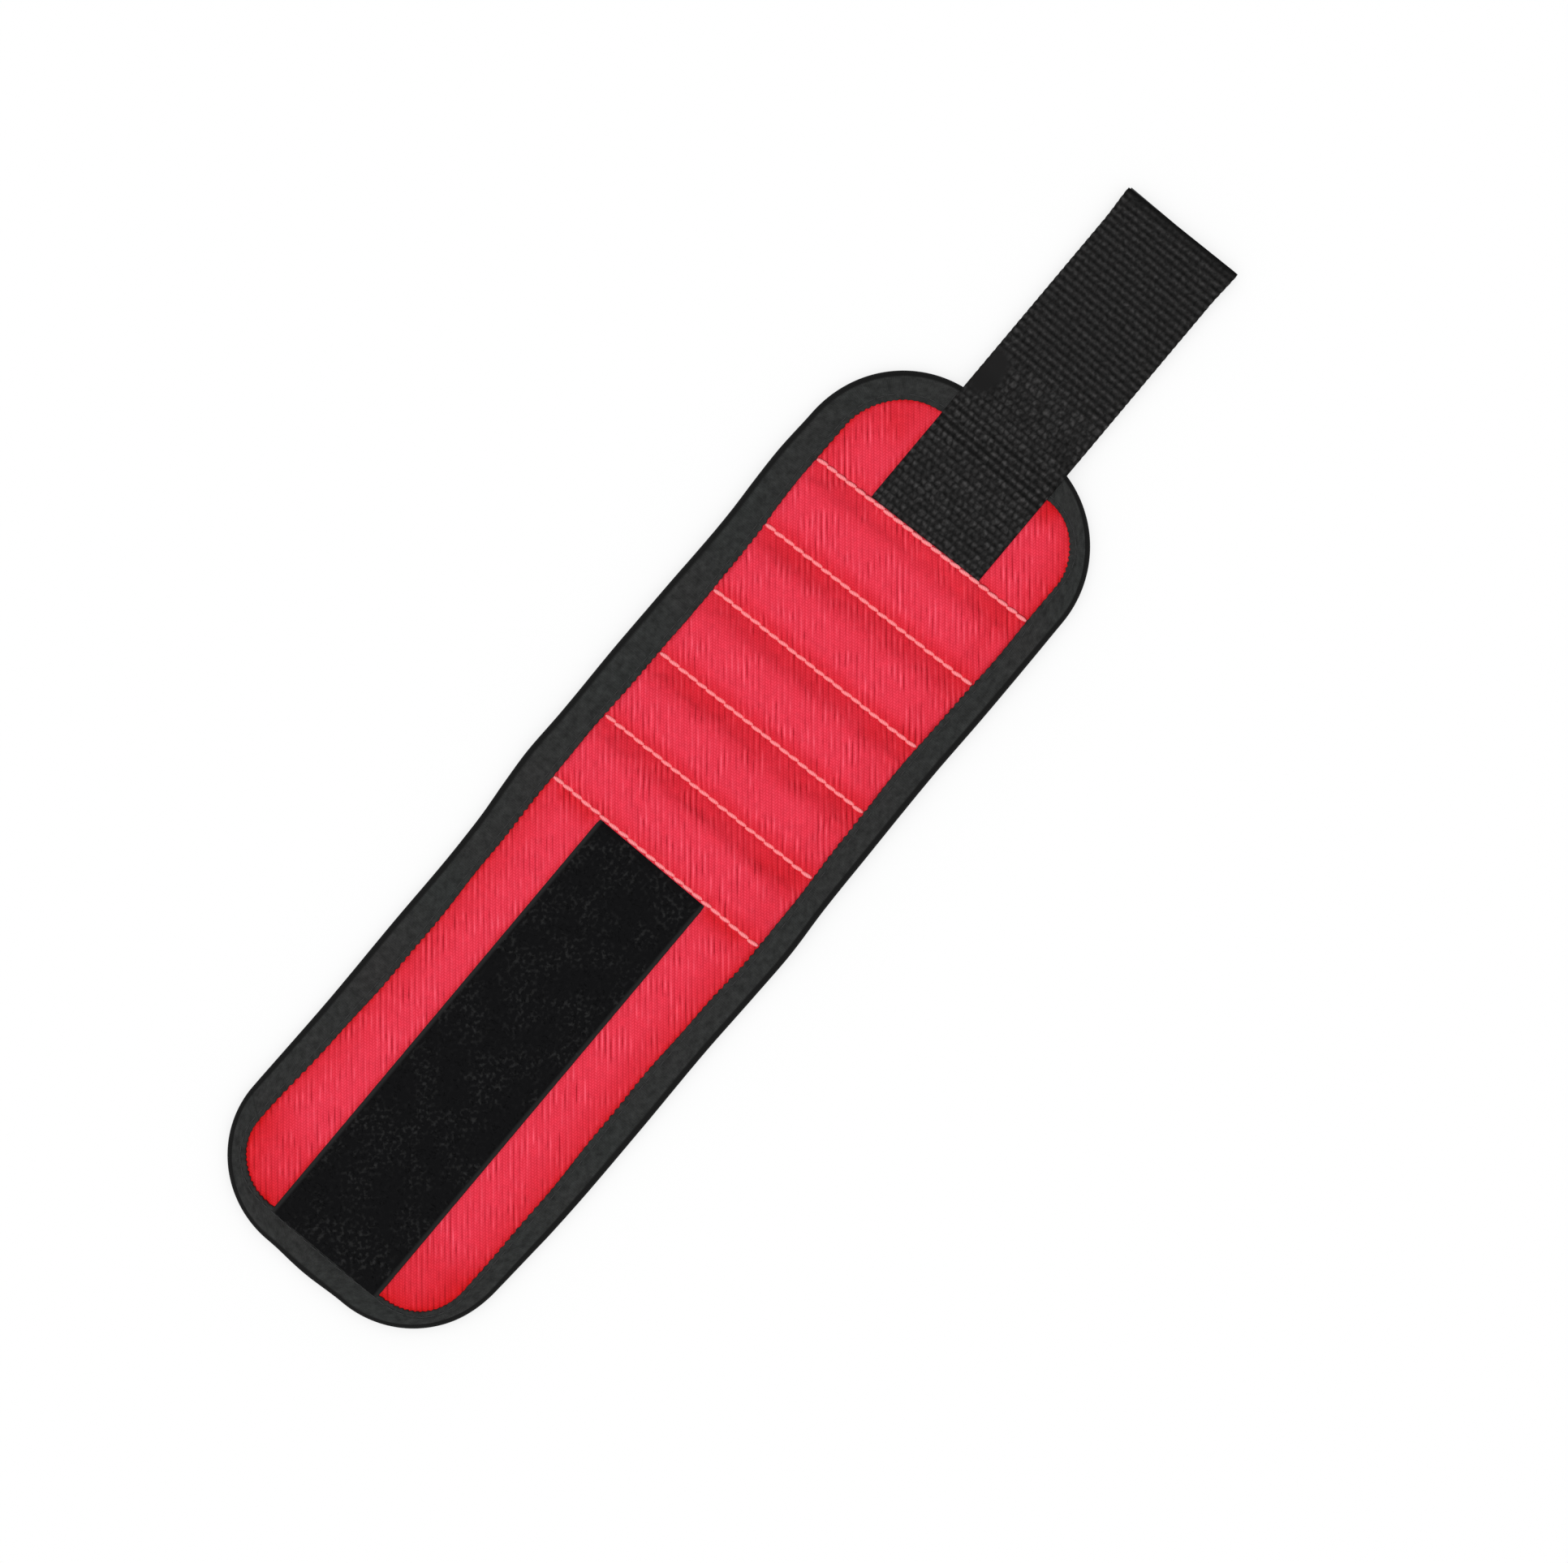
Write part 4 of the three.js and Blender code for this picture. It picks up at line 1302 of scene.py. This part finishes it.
# %% [markdown]
# ## Loop tape
#
# The tape lies on the tail from the binding to the first seam, where the hem covers its end. Its pile
# is a slightly lumpy surface. The real loops are too fine to show, so fifteen hundred coarser ones
# stand over it in tufts, and give it its fuzz in a close or slanting view.

# %% Lay the loop tape with its pile
LOOP_END = FIRST_SEAM + 3.0
PILE_LOOPS = 1500
PILE_SEED = 7
PILE_EDGE = 1.4
CURL = (0.45, 0.12, 0.34)
CURL_THREAD = 0.05


def loop_top(x, y):
    """Height of the pile, pressed down under the hem and thinner at the selvedges."""
    edge = np.minimum(LOOP_HALF["left"] - y, LOOP_HALF["right"] + y)
    thin = 0.75 * (1 - eased([(0, 0), (0.9, 0), (1.6, 1)], edge))
    under_hem = eased([(FIRST_SEAM - HEM - 1.6, 0), (FIRST_SEAM - HEM + 0.3, 0.85)], x)
    lumps = 0.10 * waves(x, y, 2.9) + 0.05 * waves(y, x, 1.7)
    return LOOP_TOP - 0.15 - thin - under_hem + lumps


loop_x = stations(TAIL_CLOTH_X - 1.0, LOOP_END, 0.9)
gx, gy = grid(loop_x, LOOP_HALF["left"], LOOP_HALF["right"], 46)
loop_face = points_of(gx, gy, loop_top(gx, gy))
loop_back = points_of(gx, gy, CLOTH_TOP + 0.02)
loop_layer = slab(loop_face, loop_back, loop_face[..., :2])

turn = np.linspace(-0.2, math.pi + 0.2, 7)
curl = points_of(CURL[0] * np.cos(turn), CURL[1] * np.sin(2 * turn), CURL[2] * np.sin(turn))
curl = tube(curl, [CURL_THREAD] * 7, 4)
random = np.random.default_rng(PILE_SEED)
pile_x = random.uniform(TAIL_CLOTH_X + 1, FIRST_SEAM - HEM - 1.5, 2 * PILE_LOOPS)
pile_y = random.uniform(PILE_EDGE - LOOP_HALF["right"], LOOP_HALF["left"] - PILE_EDGE, 2 * PILE_LOOPS)
tufted = np.argsort(-waves(pile_x, pile_y, 5.0) + 0.3 * random.standard_normal(2 * PILE_LOOPS))
pile_x, pile_y = pile_x[tufted[:PILE_LOOPS]], pile_y[tufted[:PILE_LOOPS]]
pile_turn = random.uniform(0, 2 * math.pi, PILE_LOOPS)
pile = scattered(curl, points_of(pile_x, pile_y, loop_top(pile_x, pile_y) - 0.1), pile_turn)
part_layer("loop_tape", loop_layer, loop_x, loop_black, ["loop_tape"], pile)

# %% [markdown]
# ## Strap
#
# The webbing starts under the panel's last hem, lies on the head, steps up over the binding and drops
# to the table past the edge, where the hook tape under it carries it. Its ribs are waves of the mesh.
# They are counted along the yarns, which are drawn apart a little between the sewn and the free
# stretch, and its selvedges are scalloped by the same ribs.

# %% Weave the strap
STRAP_START = LAST_SEAM - 3.0
HOOK_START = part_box("strap_near_hook_tape")[0].x / MM
TIP_SLANT = 0.45
TIP_FLARE = 0.45
RIB_STEP = 0.32
RIB_RELIEF = 0.3
YARN_SHIFT = [(118, 0.8), (132, -0.2)]
SCALLOP = 0.13
FREE_EDGE = [(118, 0), (124, 1)]
RIB_DEPTH = [
    *((STRAP_START, 0.5), (102.0, 0.5), (104.0, 1.2), (107.2, 1.2), (109.2, 0.6), (111.4, 1.1)),
    *((113.6, 0.6), (117.0, 0.6), (119.0, 0.05), (130.0, 0.05), (134.0, 0.95), (TIP_X, 1.0)),
]


def rib_wave(along):
    """Round crests with narrow valleys between them, at places counted along the yarns."""
    return np.abs(np.cos(np.pi * along / RIB)) ** 0.7 - 0.55


def strap_under(x):
    """Height of the webbing's underside along the band."""
    over = TAIL_BINDING_TOP + 0.03
    points = [
        (STRAP_START, CLOTH_TOP + 0.03),
        (HEAD_CLOTH_X - 3.5, CLOTH_TOP + 0.03),
        (HEAD_CLOTH_X + 0.5, over),
        (HEAD_X - 1.2, over),
        (HOOK_START - 0.4, WEBBING_UNDER + 0.03),
        (TIP_X, WEBBING_UNDER + 0.03),
    ]
    return eased(points, x)


strap_x = stations(STRAP_START, TIP_X - 0.05, RIB_STEP)
yarn_x = strap_x + eased(YARN_SHIFT, strap_x)
rib_depth = eased(RIB_DEPTH, strap_x)
edge = SCALLOP * rib_wave(yarn_x) * eased(FREE_EDGE, strap_x)
edge += eased([(STRAP_START, 0), (TIP_X - 12, 0), (TIP_X, TIP_FLARE)], strap_x)
gx, gy = grid(strap_x, STRAP_HALF["left"] + edge, STRAP_HALF["right"] + edge, 42)
slant = -TIP_SLANT * (1 + gy / STRAP_HALF["right"]) * eased([(TIP_X - 20, 0), (TIP_X, 1)], gx)
under_hem = eased([(LAST_SEAM + HEM - 0.3, 0.55), (LAST_SEAM + HEM + 1.5, 0)], gx)
edge_round = 0.28 * (1 - eased([(0, 0), (1.6, 1)], np.minimum(gy - gy[:, :1], gy[:, -1:] - gy)))
sway = 0.05 * waves(gx, gy, 40)
strap_low = strap_under(gx)
strap_high = strap_low + (WEBBING_TOP - WEBBING_UNDER) - 0.2 - under_hem - edge_round
strap_high += (RIB_RELIEF * rib_depth * rib_wave(yarn_x))[:, None] + sway
strap_layer = slab(
    points_of(gx + slant, gy, strap_high),
    points_of(gx + slant, gy, strap_low),
    points_of(yarn_x[:, None], gy),
    np.broadcast_to(rib_depth[:, None], gy.shape),
)
endings = ["strap_webbing", "webbing"]
part_layer("strap_webbing", strap_layer, strap_x, webbing_black, endings)

# %% [markdown]
# ## Hook tape
#
# The strap's underside carries the hooks, a nylon sheet with rows of small hooks that all bend the
# same way. They can't be seen from above, but they show when the strap lifts, so they are real
# shapes, drawn coarser than the tape's own.

# %% Set the rows of hooks
HOOK_PITCH = (1.9, 1.7)
HOOK_HALF = 18.0
HOOK_SHEET = 0.55
HOOK_X = [0, 0, 0.08, 0.34, 0.62, 0.72]
HOOK_Z = [0.1, -0.45, -0.8, -1.0, -0.88, -0.62]
HOOK_RADII = [0.17, 0.14, 0.12, 0.11, 0.10, 0.08]
hook_base = WEBBING_UNDER - HOOK_SHEET
hook_x = stations(HOOK_START, TIP_X - 0.3, 2.0)
gx, gy = grid(hook_x, HOOK_HALF, HOOK_HALF, 12)
hook_layer = slab(points_of(gx, gy, WEBBING_UNDER), points_of(gx, gy, hook_base), points_of(gx, gy))
rows_x = np.arange(HOOK_START + 1.0, TIP_X - 1.5, HOOK_PITCH[0])
rows_y = np.arange(-HOOK_HALF + 1.0, HOOK_HALF - 0.8, HOOK_PITCH[1])
hooks_x, hooks_y = (values.ravel() for values in np.meshgrid(rows_x, rows_y, indexing="ij"))
hook = tube(points_of(HOOK_X, 0, HOOK_Z), HOOK_RADII, 5)
hooks = scattered(hook, points_of(hooks_x, hooks_y, hook_base), 0 * hooks_x)
part_layer("hook_tape", hook_layer, hook_x, hook_black, ["hook_tape"], hooks)
print("hooks:", len(hooks_x))

# %% [markdown]
# ## Lining
#
# Foam faced with air mesh makes the wrist side. It is drawn in along each seam, where the stitches pull
# it up into a groove, and it is thinner at its edge, where the binding's lower leaf lies under it. The
# bobbin thread of each row lies in its groove. It can't be seen in the photograph, and is taken to be
# black, like the lining.

# %% Lay the padded lining
LINING_INSET = 1.4
GROOVE = 0.55
UNDER_TILT = 0.028
UNDERSIDE = 0.03
LEAF_ROOM = 0.02
SEAM_GROOVE_HALF = 1.6

lining_x = stations(TAIL_X + LINING_INSET + 0.2, HEAD_X - LINING_INSET - 0.2, 1.4)
gx, gy = grid(lining_x, *(band_half(side, lining_x, LINING_INSET) for side in SIGN), 64)
inside = cloth_outer(gx, gy) - np.abs(gy)
ends = np.minimum(gx - TAIL_CLOTH_X, HEAD_CLOTH_X - gx)
relief = eased([(-0.4, 1), (0.6, 0)], np.minimum(inside, ends))
seam_pull = sum(
    np.exp(-(((gx + UNDER_TILT * gy - x) / SEAM_GROOVE_HALF) ** 2)) for x in seam_x
)
lining_low = UNDERSIDE + (BINDING + LEAF_ROOM) * relief + GROOVE * seam_pull * (1 - relief)
first, last = FIRST_SEAM + 4, LAST_SEAM - 4
under_pockets = eased([(first, 0), (first + 3, 1), (last - 3, 1), (last, 0)], gx)
under_pockets *= 1 - 0.8 * np.minimum(seam_pull, 1)
lining_high = cloth_top(gx, gy) - CLOTH - 0.04 - 0.5 * np.minimum(seam_pull, 1)
lining_high += under_pockets * (CLOTH_TOP - 0.04 - lining_high)
lining_layer = slab(points_of(gx, gy, lining_high), points_of(gx, gy, lining_low), points_of(gx, gy))
endings = ["lining", "back_pad"]
lining_pieces = part_layer("mesh_lining", lining_layer, lining_x, mesh_black, endings)

bobbin_stitch = stitch(STITCH * 0.9, 0.3)
for k, x in enumerate(seam_x):
    y = np.arange(2 - float(cloth_half("right", x)), float(cloth_half("left", x)) - 1, STITCH)
    places = points_of(x - UNDER_TILT * y, y, UNDERSIDE + GROOVE - 0.05)
    row = [copies(bobbin_stitch, places, 0 * y + math.atan(UNDER_TILT), FLIPPED)]
    bend(mesh_piece(f"wrist_side_stitches_{k + 1}", row, black_thread))
print("rows on the wrist side:", len(seam_x))

# %% [markdown]
# ## Binding
#
# The binding is a tape folded over the edge all round, so its section is a hairpin: an upper leaf, a
# round turn and a lower leaf. It is swept along a path that pairs each point of the outer edge with one
# of the cloth's edge, so that the tape is as wide at each place as in the photograph. The path runs up
# the left side, round the head, back along the right side and round the tail.


# %% Pair the outer edge with the cloth's edge
def side_run(side, start, end, step):
    """Pairs of points along one side. The cloth's corners start later than the outer ones."""
    outer_x = stations(min(start, end), max(start, end), step)
    first, last = outer_x[0], outer_x[-1]
    low, high = TAIL_CLOTH_X + TAIL_CLOTH_CORNER, HEAD_CLOTH_X - HEAD_CLOTH_CORNER[side]
    first_cut, last_cut = BAND_CUTS[0], BAND_CUTS[-1]
    inner_x = np.interp(outer_x, [first, first_cut, last_cut, last], [low, first_cut, last_cut, high])
    outer = points_of(outer_x, SIGN[side] * traced(OUTER_EDGE[side], outer_x))
    inner = points_of(inner_x, SIGN[side] * traced(CLOTH_EDGE[side], inner_x))
    return (outer, inner) if start < end else (outer[::-1], inner[::-1])


def corner_run(side, end, start, stop):
    """Pairs of points round one corner, between two angles."""
    turn = np.radians(np.linspace(start, stop, 64)[1:-1])
    pair = []
    for edges, centre_x, radii in corners[side, end]:
        x = centre_x + radii[0] * np.cos(turn)
        y = SIGN[side] * (traced(edges[side], x) - radii[1] * (1 - np.abs(np.sin(turn))))
        pair.append(points_of(x, y))
    return pair


def end_run(end, first_side, second_side, bow):
    """Pairs of points along one end, between its two corners. Bow moves the outer edge's middle."""
    share = np.linspace(0, 1, 48)
    pair = []
    for which, swell in ((0, bow), (1, 0.0)):
        tips = []
        for side in (first_side, second_side):
            edges, centre_x, radii = corners[side, end][which]
            tip_x = centre_x + radii[0] * (1 if end == "head" else -1)
            tips.append((tip_x, SIGN[side] * (float(traced(edges[side], tip_x)) - radii[1])))
        line = np.array(tips[0]) + np.outer(share, np.subtract(tips[1], tips[0]))
        line[:, 0] += swell * np.sin(np.pi * share) ** 2
        pair.append(line)
    return pair


# %% Run the path round the band
BINDING_STEP = 0.55
tail_start = TAIL_X + TAIL_CORNER[0] + TAIL_BOW
head_start = HEAD_X - HEAD_CORNER[0]
corners = {}
for side in SIGN:
    tail, head = TAIL_CLOTH_CORNER, HEAD_CLOTH_CORNER[side]
    corners[side, "tail"] = (
        (OUTER_EDGE, tail_start, TAIL_CORNER),
        (CLOTH_EDGE, TAIL_CLOTH_X + tail, (tail, tail)),
    )
    corners[side, "head"] = (
        (OUTER_EDGE, head_start, HEAD_CORNER),
        (CLOTH_EDGE, HEAD_CLOTH_X - head, (head, head)),
    )

path = [
    side_run("left", tail_start, head_start, BINDING_STEP),
    corner_run("left", "head", 90, 0),
    end_run("head", "left", "right", 0.0),
    corner_run("right", "head", 0, -90),
    side_run("right", head_start, tail_start, BINDING_STEP),
    corner_run("right", "tail", 270, 180),
    end_run("tail", "right", "left", -TAIL_BOW),
    corner_run("left", "tail", 180, 90),
]
outer, inner = (np.concatenate(runs) for runs in zip(*path))
reach = run_of((outer + inner) / 2)
print(f"binding path: {len(outer)} stations, {reach[-1]:.0f} mm long")

# %% [markdown]
# The section is written as distances from the cloth's edge or from the outer edge, and heights from
# the top or the bottom, so one list of points fits every width. The upper leaf is faintly domed, its
# inner edge is pressed down by its stitching, and the turn at the outer edge is round. Each row of the
# list holds a share of the tape's width, a shift outward, a share of the band's height and a rise.

# %% Sweep the binding's section along the path
TURN_REACH = 1.9
EDGE_TOOTH = 2.2
PUCKER = 0.05
turn = np.radians(np.linspace(80, -80, 9))
SECTION = [
    (0, 0.0, 1, -0.42),
    (0, 0.08, 1, -0.14),
    (0, 0.35, 1, -0.02),
    (0, 1.0, 1, 0.0),
    (0, 1.55, 1, -0.10),
    (0, 2.1, 1, 0.0),
    (0.4, 0, 1, 0.07),
    (0.6, 0, 1, 0.08),
    (0.8, -0.4, 1, 0.03),
    *((1, -TURN_REACH * (1 - math.cos(a)), (1 + math.sin(a)) / 2, 0.0) for a in turn),
    (0.8, -0.4, 0, 0.0),
    (0.5, 0, 0, 0.0),
    (0, 2.2, 0, 0.0),
    (0, 1.6, 0, 0.26),
    (0, 1.0, 0, 0.0),
    (0, 0.4, 0, 0.0),
    (0, 0.08, 0, 0.12),
    (0, 0.0, 0, 0.40),
    (0, 0.12, 0, BINDING),
    (0.5, 0, 0, BINDING),
    (1, -1.5, 0, BINDING),
    (1, -0.75, 0.5, 0.0),
    (1, -1.5, 1, -BINDING),
    (0.5, 0, 1, -BINDING),
    (0, 0.12, 1, -BINDING),
]
share, shift, top_share, rise = np.array(SECTION).T
way = outer - inner
width = np.linalg.norm(way, axis=1, keepdims=True)
way = way / width
puckers = PUCKER * np.sin(reach / 1.7) * np.sin(reach / 11.0)
top = (binding_top(outer[:, 0]) + puckers)[:, None]
tooth = np.sin(2 * np.pi * reach / EDGE_TOOTH + 0.8 * np.sin(reach / 5.3))
edge_drift = 0.10 * np.sin(reach / 4.3) + (0.17 + 0.09 * np.sin(reach / 7.7)) * tooth
distance = width * share + shift + (share == 0) * edge_drift[:, None]
plan = inner[:, None] + way[:, None] * distance[..., None]
heights = top * top_share + rise
binding_rings = np.concatenate([plan, heights[..., None]], axis=-1)
around = run_of(binding_rings[0])
turn_middle = around[9 + len(turn) // 2]
binding_uv = points_of(reach[:, None], around - turn_middle)
binding_layer = layer_of(binding_rings, binding_uv, 0 * binding_uv[..., 0])
closed = np.concatenate([binding_rings[-1:], binding_rings, binding_rings[:1]])
binding_layer["normals"] = normals_of(closed)[1:-1]

# %% [markdown]
# The swept tape is parted at the cuts too. The tail's end and the head's end are each one piece that
# goes round the band, and between them the left and the right side have a piece at every fold. The
# row of black stitches that holds the leaves together runs 1.6 mm from the tape's inner edge, with a
# stitch above and one below at each place. The strap is sewn on over them, and they stop beside it.


# %% Part the binding
def cut_stations(side):
    """The stations of the path nearest to the cuts, on one side."""
    away = np.where(outer[:, 1] * SIGN[side] < 0, np.inf, 0.0)
    return [int(np.argmin(abs(outer[:, 0] - x) + away)) for x in BAND_CUTS]


def binding_piece(name, layer, span, nodes):
    """The binding between two stations, which stands for the given nodes."""
    piece = mesh_piece(name, [slice_of(layer, *span)], binding_black)
    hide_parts(*nodes)
    bend(piece)


left_cuts, right_cuts = cut_stations("left"), cut_stations("right")
rolled = {key: np.roll(values, -right_cuts[0], axis=0) for key, values in binding_layer.items()}
span = (0, (left_cuts[0] - right_cuts[0]) % len(outer))
nodes = ["tail_1_binding", "tail_2_binding_left", "tail_2_binding_right"]
binding_piece("tail_end_binding", rolled, span, nodes)
span = (left_cuts[-1], right_cuts[-1])
binding_piece("head_end_binding", binding_layer, span, ["head_binding"])
for k in range(1, len(BAND_CUTS)):
    spans = {"left": (left_cuts[k - 1], left_cuts[k]), "right": (right_cuts[k], right_cuts[k - 1])}
    for side, span in spans.items():
        nodes = [f"{folds[k][2]}_binding_{side}"]
        binding_piece(f"{side}_binding_{k}", binding_layer, span, nodes)
print("binding pieces:", 2 * len(BAND_CUTS), "and", len(outer), "stations")

# %% Sew the binding
BINDING_STITCH = 3.0
STITCH_INSET = 1.6
UNDER_STRAP_X = 100
LEAF_HEIGHTS = (-0.12, 0.38)

seam_way = inner + way * STITCH_INSET
seam_reach = run_of(seam_way)


def on_seam(distance):
    """Points on the binding's seam at distances along it."""
    return points_of(*(np.interp(distance, seam_reach, values) for values in seam_way.T))


stitch_at = np.arange(1.0, seam_reach[-1], BINDING_STITCH)
stitch_x, stitch_y = on_seam(stitch_at).T
ahead = on_seam(stitch_at + 0.5) - on_seam(stitch_at)
stitch_turn = np.arctan2(-ahead[:, 0], ahead[:, 1])
hidden = (stitch_y > -STRAP_HALF["right"]) & (stitch_y < STRAP_HALF["left"])
hidden &= stitch_x > UNDER_STRAP_X
short_stitch = stitch(BINDING_STITCH * 0.9, 0.2)
edges = [-np.inf, *BAND_CUTS, np.inf]
for k, (start, end) in enumerate(zip(edges, edges[1:])):
    here = (stitch_x >= start) & (stitch_x < end) & ~hidden
    x, y, turn = stitch_x[here], stitch_y[here], stitch_turn[here]
    rows = [
        copies(short_stitch, points_of(x, y, binding_top(x) + LEAF_HEIGHTS[0]), turn),
        copies(short_stitch, points_of(x, y, LEAF_HEIGHTS[1]), turn, FLIPPED),
    ]
    bend(mesh_piece(f"binding_stitches_{k + 1}", rows, black_thread))
print("binding stitches:", len(stitch_at))

# %% [markdown]
# ## Soft pieces
#
# The cloths are sheets. A slice that is laid has the size of its plan, and the length, breadth, area in
# plan and area of face of each laid slice of the tail and the head are worked out below. A slice of
# the pocket panel is stretched over the magnets. The lining is a padded piece, thin and only lightly
# filled.


def cloth_size(piece):
    """Length and width of a cloth slice, its area in plan and the area of its face, in metres."""
    points = np.array([v.co for v in piece.data.vertices])
    length, breadth = np.ptp(points[:, 0]), np.ptp(points[:, 1])
    face = [p for p in piece.data.polygons if p.normal.z > 0.2]
    plan = sum(p.area * p.normal.z for p in face)
    return length, breadth, min(plan, length * breadth), sum(p.area for p in face)


for piece in tail_cloth + head_cloth:
    length, breadth, plan, _ = cloth_size(piece)
print("declared:", len(tail_cloth + head_cloth + panel_pieces), "sheets,", len(lining_pieces), "pads")

# %% [markdown]
# ## Floor and light
#
# The photograph is a cut-out on white, so the floor has to look white to the camera without lighting
# the object more. Light Path tells the floor's material which rays come from the camera, a mirror or a
# glass. For those it is a clear sheet in front of the white world, with only a painted soft shadow of
# the object, drawn from how much of the sky each spot of the floor sees. So a pose that wraps the
# band downward still shows. All other rays see a plain pale floor, which glows faintly, so that the
# wrist side isn't lost in its own shadow. From below, the floor is clear.

# %% Lay the floor
FLOOR_SIZE = 4.0
SHADOW_REACH = 30.0
SHADOW_TONE = 0.7
FLOOR_GLOW = 0.3
FLOOR_LEVEL = -0.05


def background_rays(tree):
    """1 for the rays that show the background: from the camera, a mirror or a glass."""
    path = add(tree, "LightPath")
    seen = path.outputs["Is Camera Ray"]
    for ray in ("Is Glossy Ray", "Is Transmission Ray"):
        seen = add(tree, "Math", {0: seen, 1: path.outputs[ray]}, operation="MAXIMUM")
    return seen


def studio_floor():
    """A pale floor that is clear but for a painted shadow where the background shows."""
    material = bpy.data.materials.new("pale_studio_floor")
    material.use_nodes = True
    tree = material.node_tree
    tree.nodes.remove(tree.nodes["Principled BSDF"])
    seen = background_rays(tree)
    open_sky = add(tree, "AmbientOcclusion", {"Distance": SHADOW_REACH * MM}, samples=16)
    shade = add(tree, "MapRange", {0: open_sky.outputs["AO"], 3: SHADOW_TONE, 4: 1.0})
    shown = add(tree, "BsdfTransparent", {"Color": shade})
    pale = add(tree, "BsdfDiffuse", {"Color": linear("#bcbcbc")})
    glow = add(tree, "Emission", {"Color": linear("#ffffff"), "Strength": FLOOR_GLOW})
    plain = add(tree, "AddShader", {0: pale, 1: glow})
    above = add(tree, "MixShader", {0: seen, 1: plain, 2: shown})
    clear = add(tree, "BsdfTransparent")
    side = add(tree, "NewGeometry").outputs["Backfacing"]
    shader = add(tree, "MixShader", {0: side, 1: above, 2: clear})
    plug(tree, shader, tree.nodes["Material Output"].inputs["Surface"])
    return material


floor_mesh = bpy.data.meshes.new("floor")
half = FLOOR_SIZE / 2
floor_corners = [(-half, -half, 0), (half, -half, 0), (half, half, 0), (-half, half, 0)]
floor_mesh.from_pydata(floor_corners, [], [(0, 1, 2, 3)])
floor_mesh.materials.append(studio_floor())
floor = bpy.data.objects.new("floor", floor_mesh)
floor.location.z = FLOOR_LEVEL * MM
bpy.context.scene.collection.objects.link(floor)

# %% [markdown]
# The light is a large soft key from the tail's side and an even sky. Together they light a level
# surface at a strength of 1.08, so a colour renders about as it is written. The key's slant darkens the
# pocket sides that face the head, as in the photograph.

# %% Light the band
KEY_TILT = math.radians(15)
KEY_FROM = math.radians(172)
KEY_SHARE = 0.72
KEY_SPREAD = math.radians(24)
SKY_SHARE = 0.36

key = bpy.data.objects.new("key_light", bpy.data.lights.new("key_light", "SUN"))
bpy.context.scene.collection.objects.link(key)
key.data.energy = math.pi * KEY_SHARE / math.cos(KEY_TILT)
key.data.angle = KEY_SPREAD
aside = math.sin(KEY_TILT)
from_key = Vector((aside * math.cos(KEY_FROM), aside * math.sin(KEY_FROM), math.cos(KEY_TILT)))
key.rotation_euler = (-from_key).to_track_quat("-Z", "Y").to_euler()

world = bpy.data.worlds.new("studio")
bpy.context.scene.world = world
world.use_nodes = True
sky = world.node_tree
light = sky.nodes["Background"]
light.inputs["Color"].default_value = linear("#ffffff")
strength = add(sky, "MapRange", {0: background_rays(sky), 3: SKY_SHARE, 4: 1.0})
plug(sky, strength, light.inputs["Strength"])
print("light on a level surface:", KEY_SHARE + SKY_SHARE)
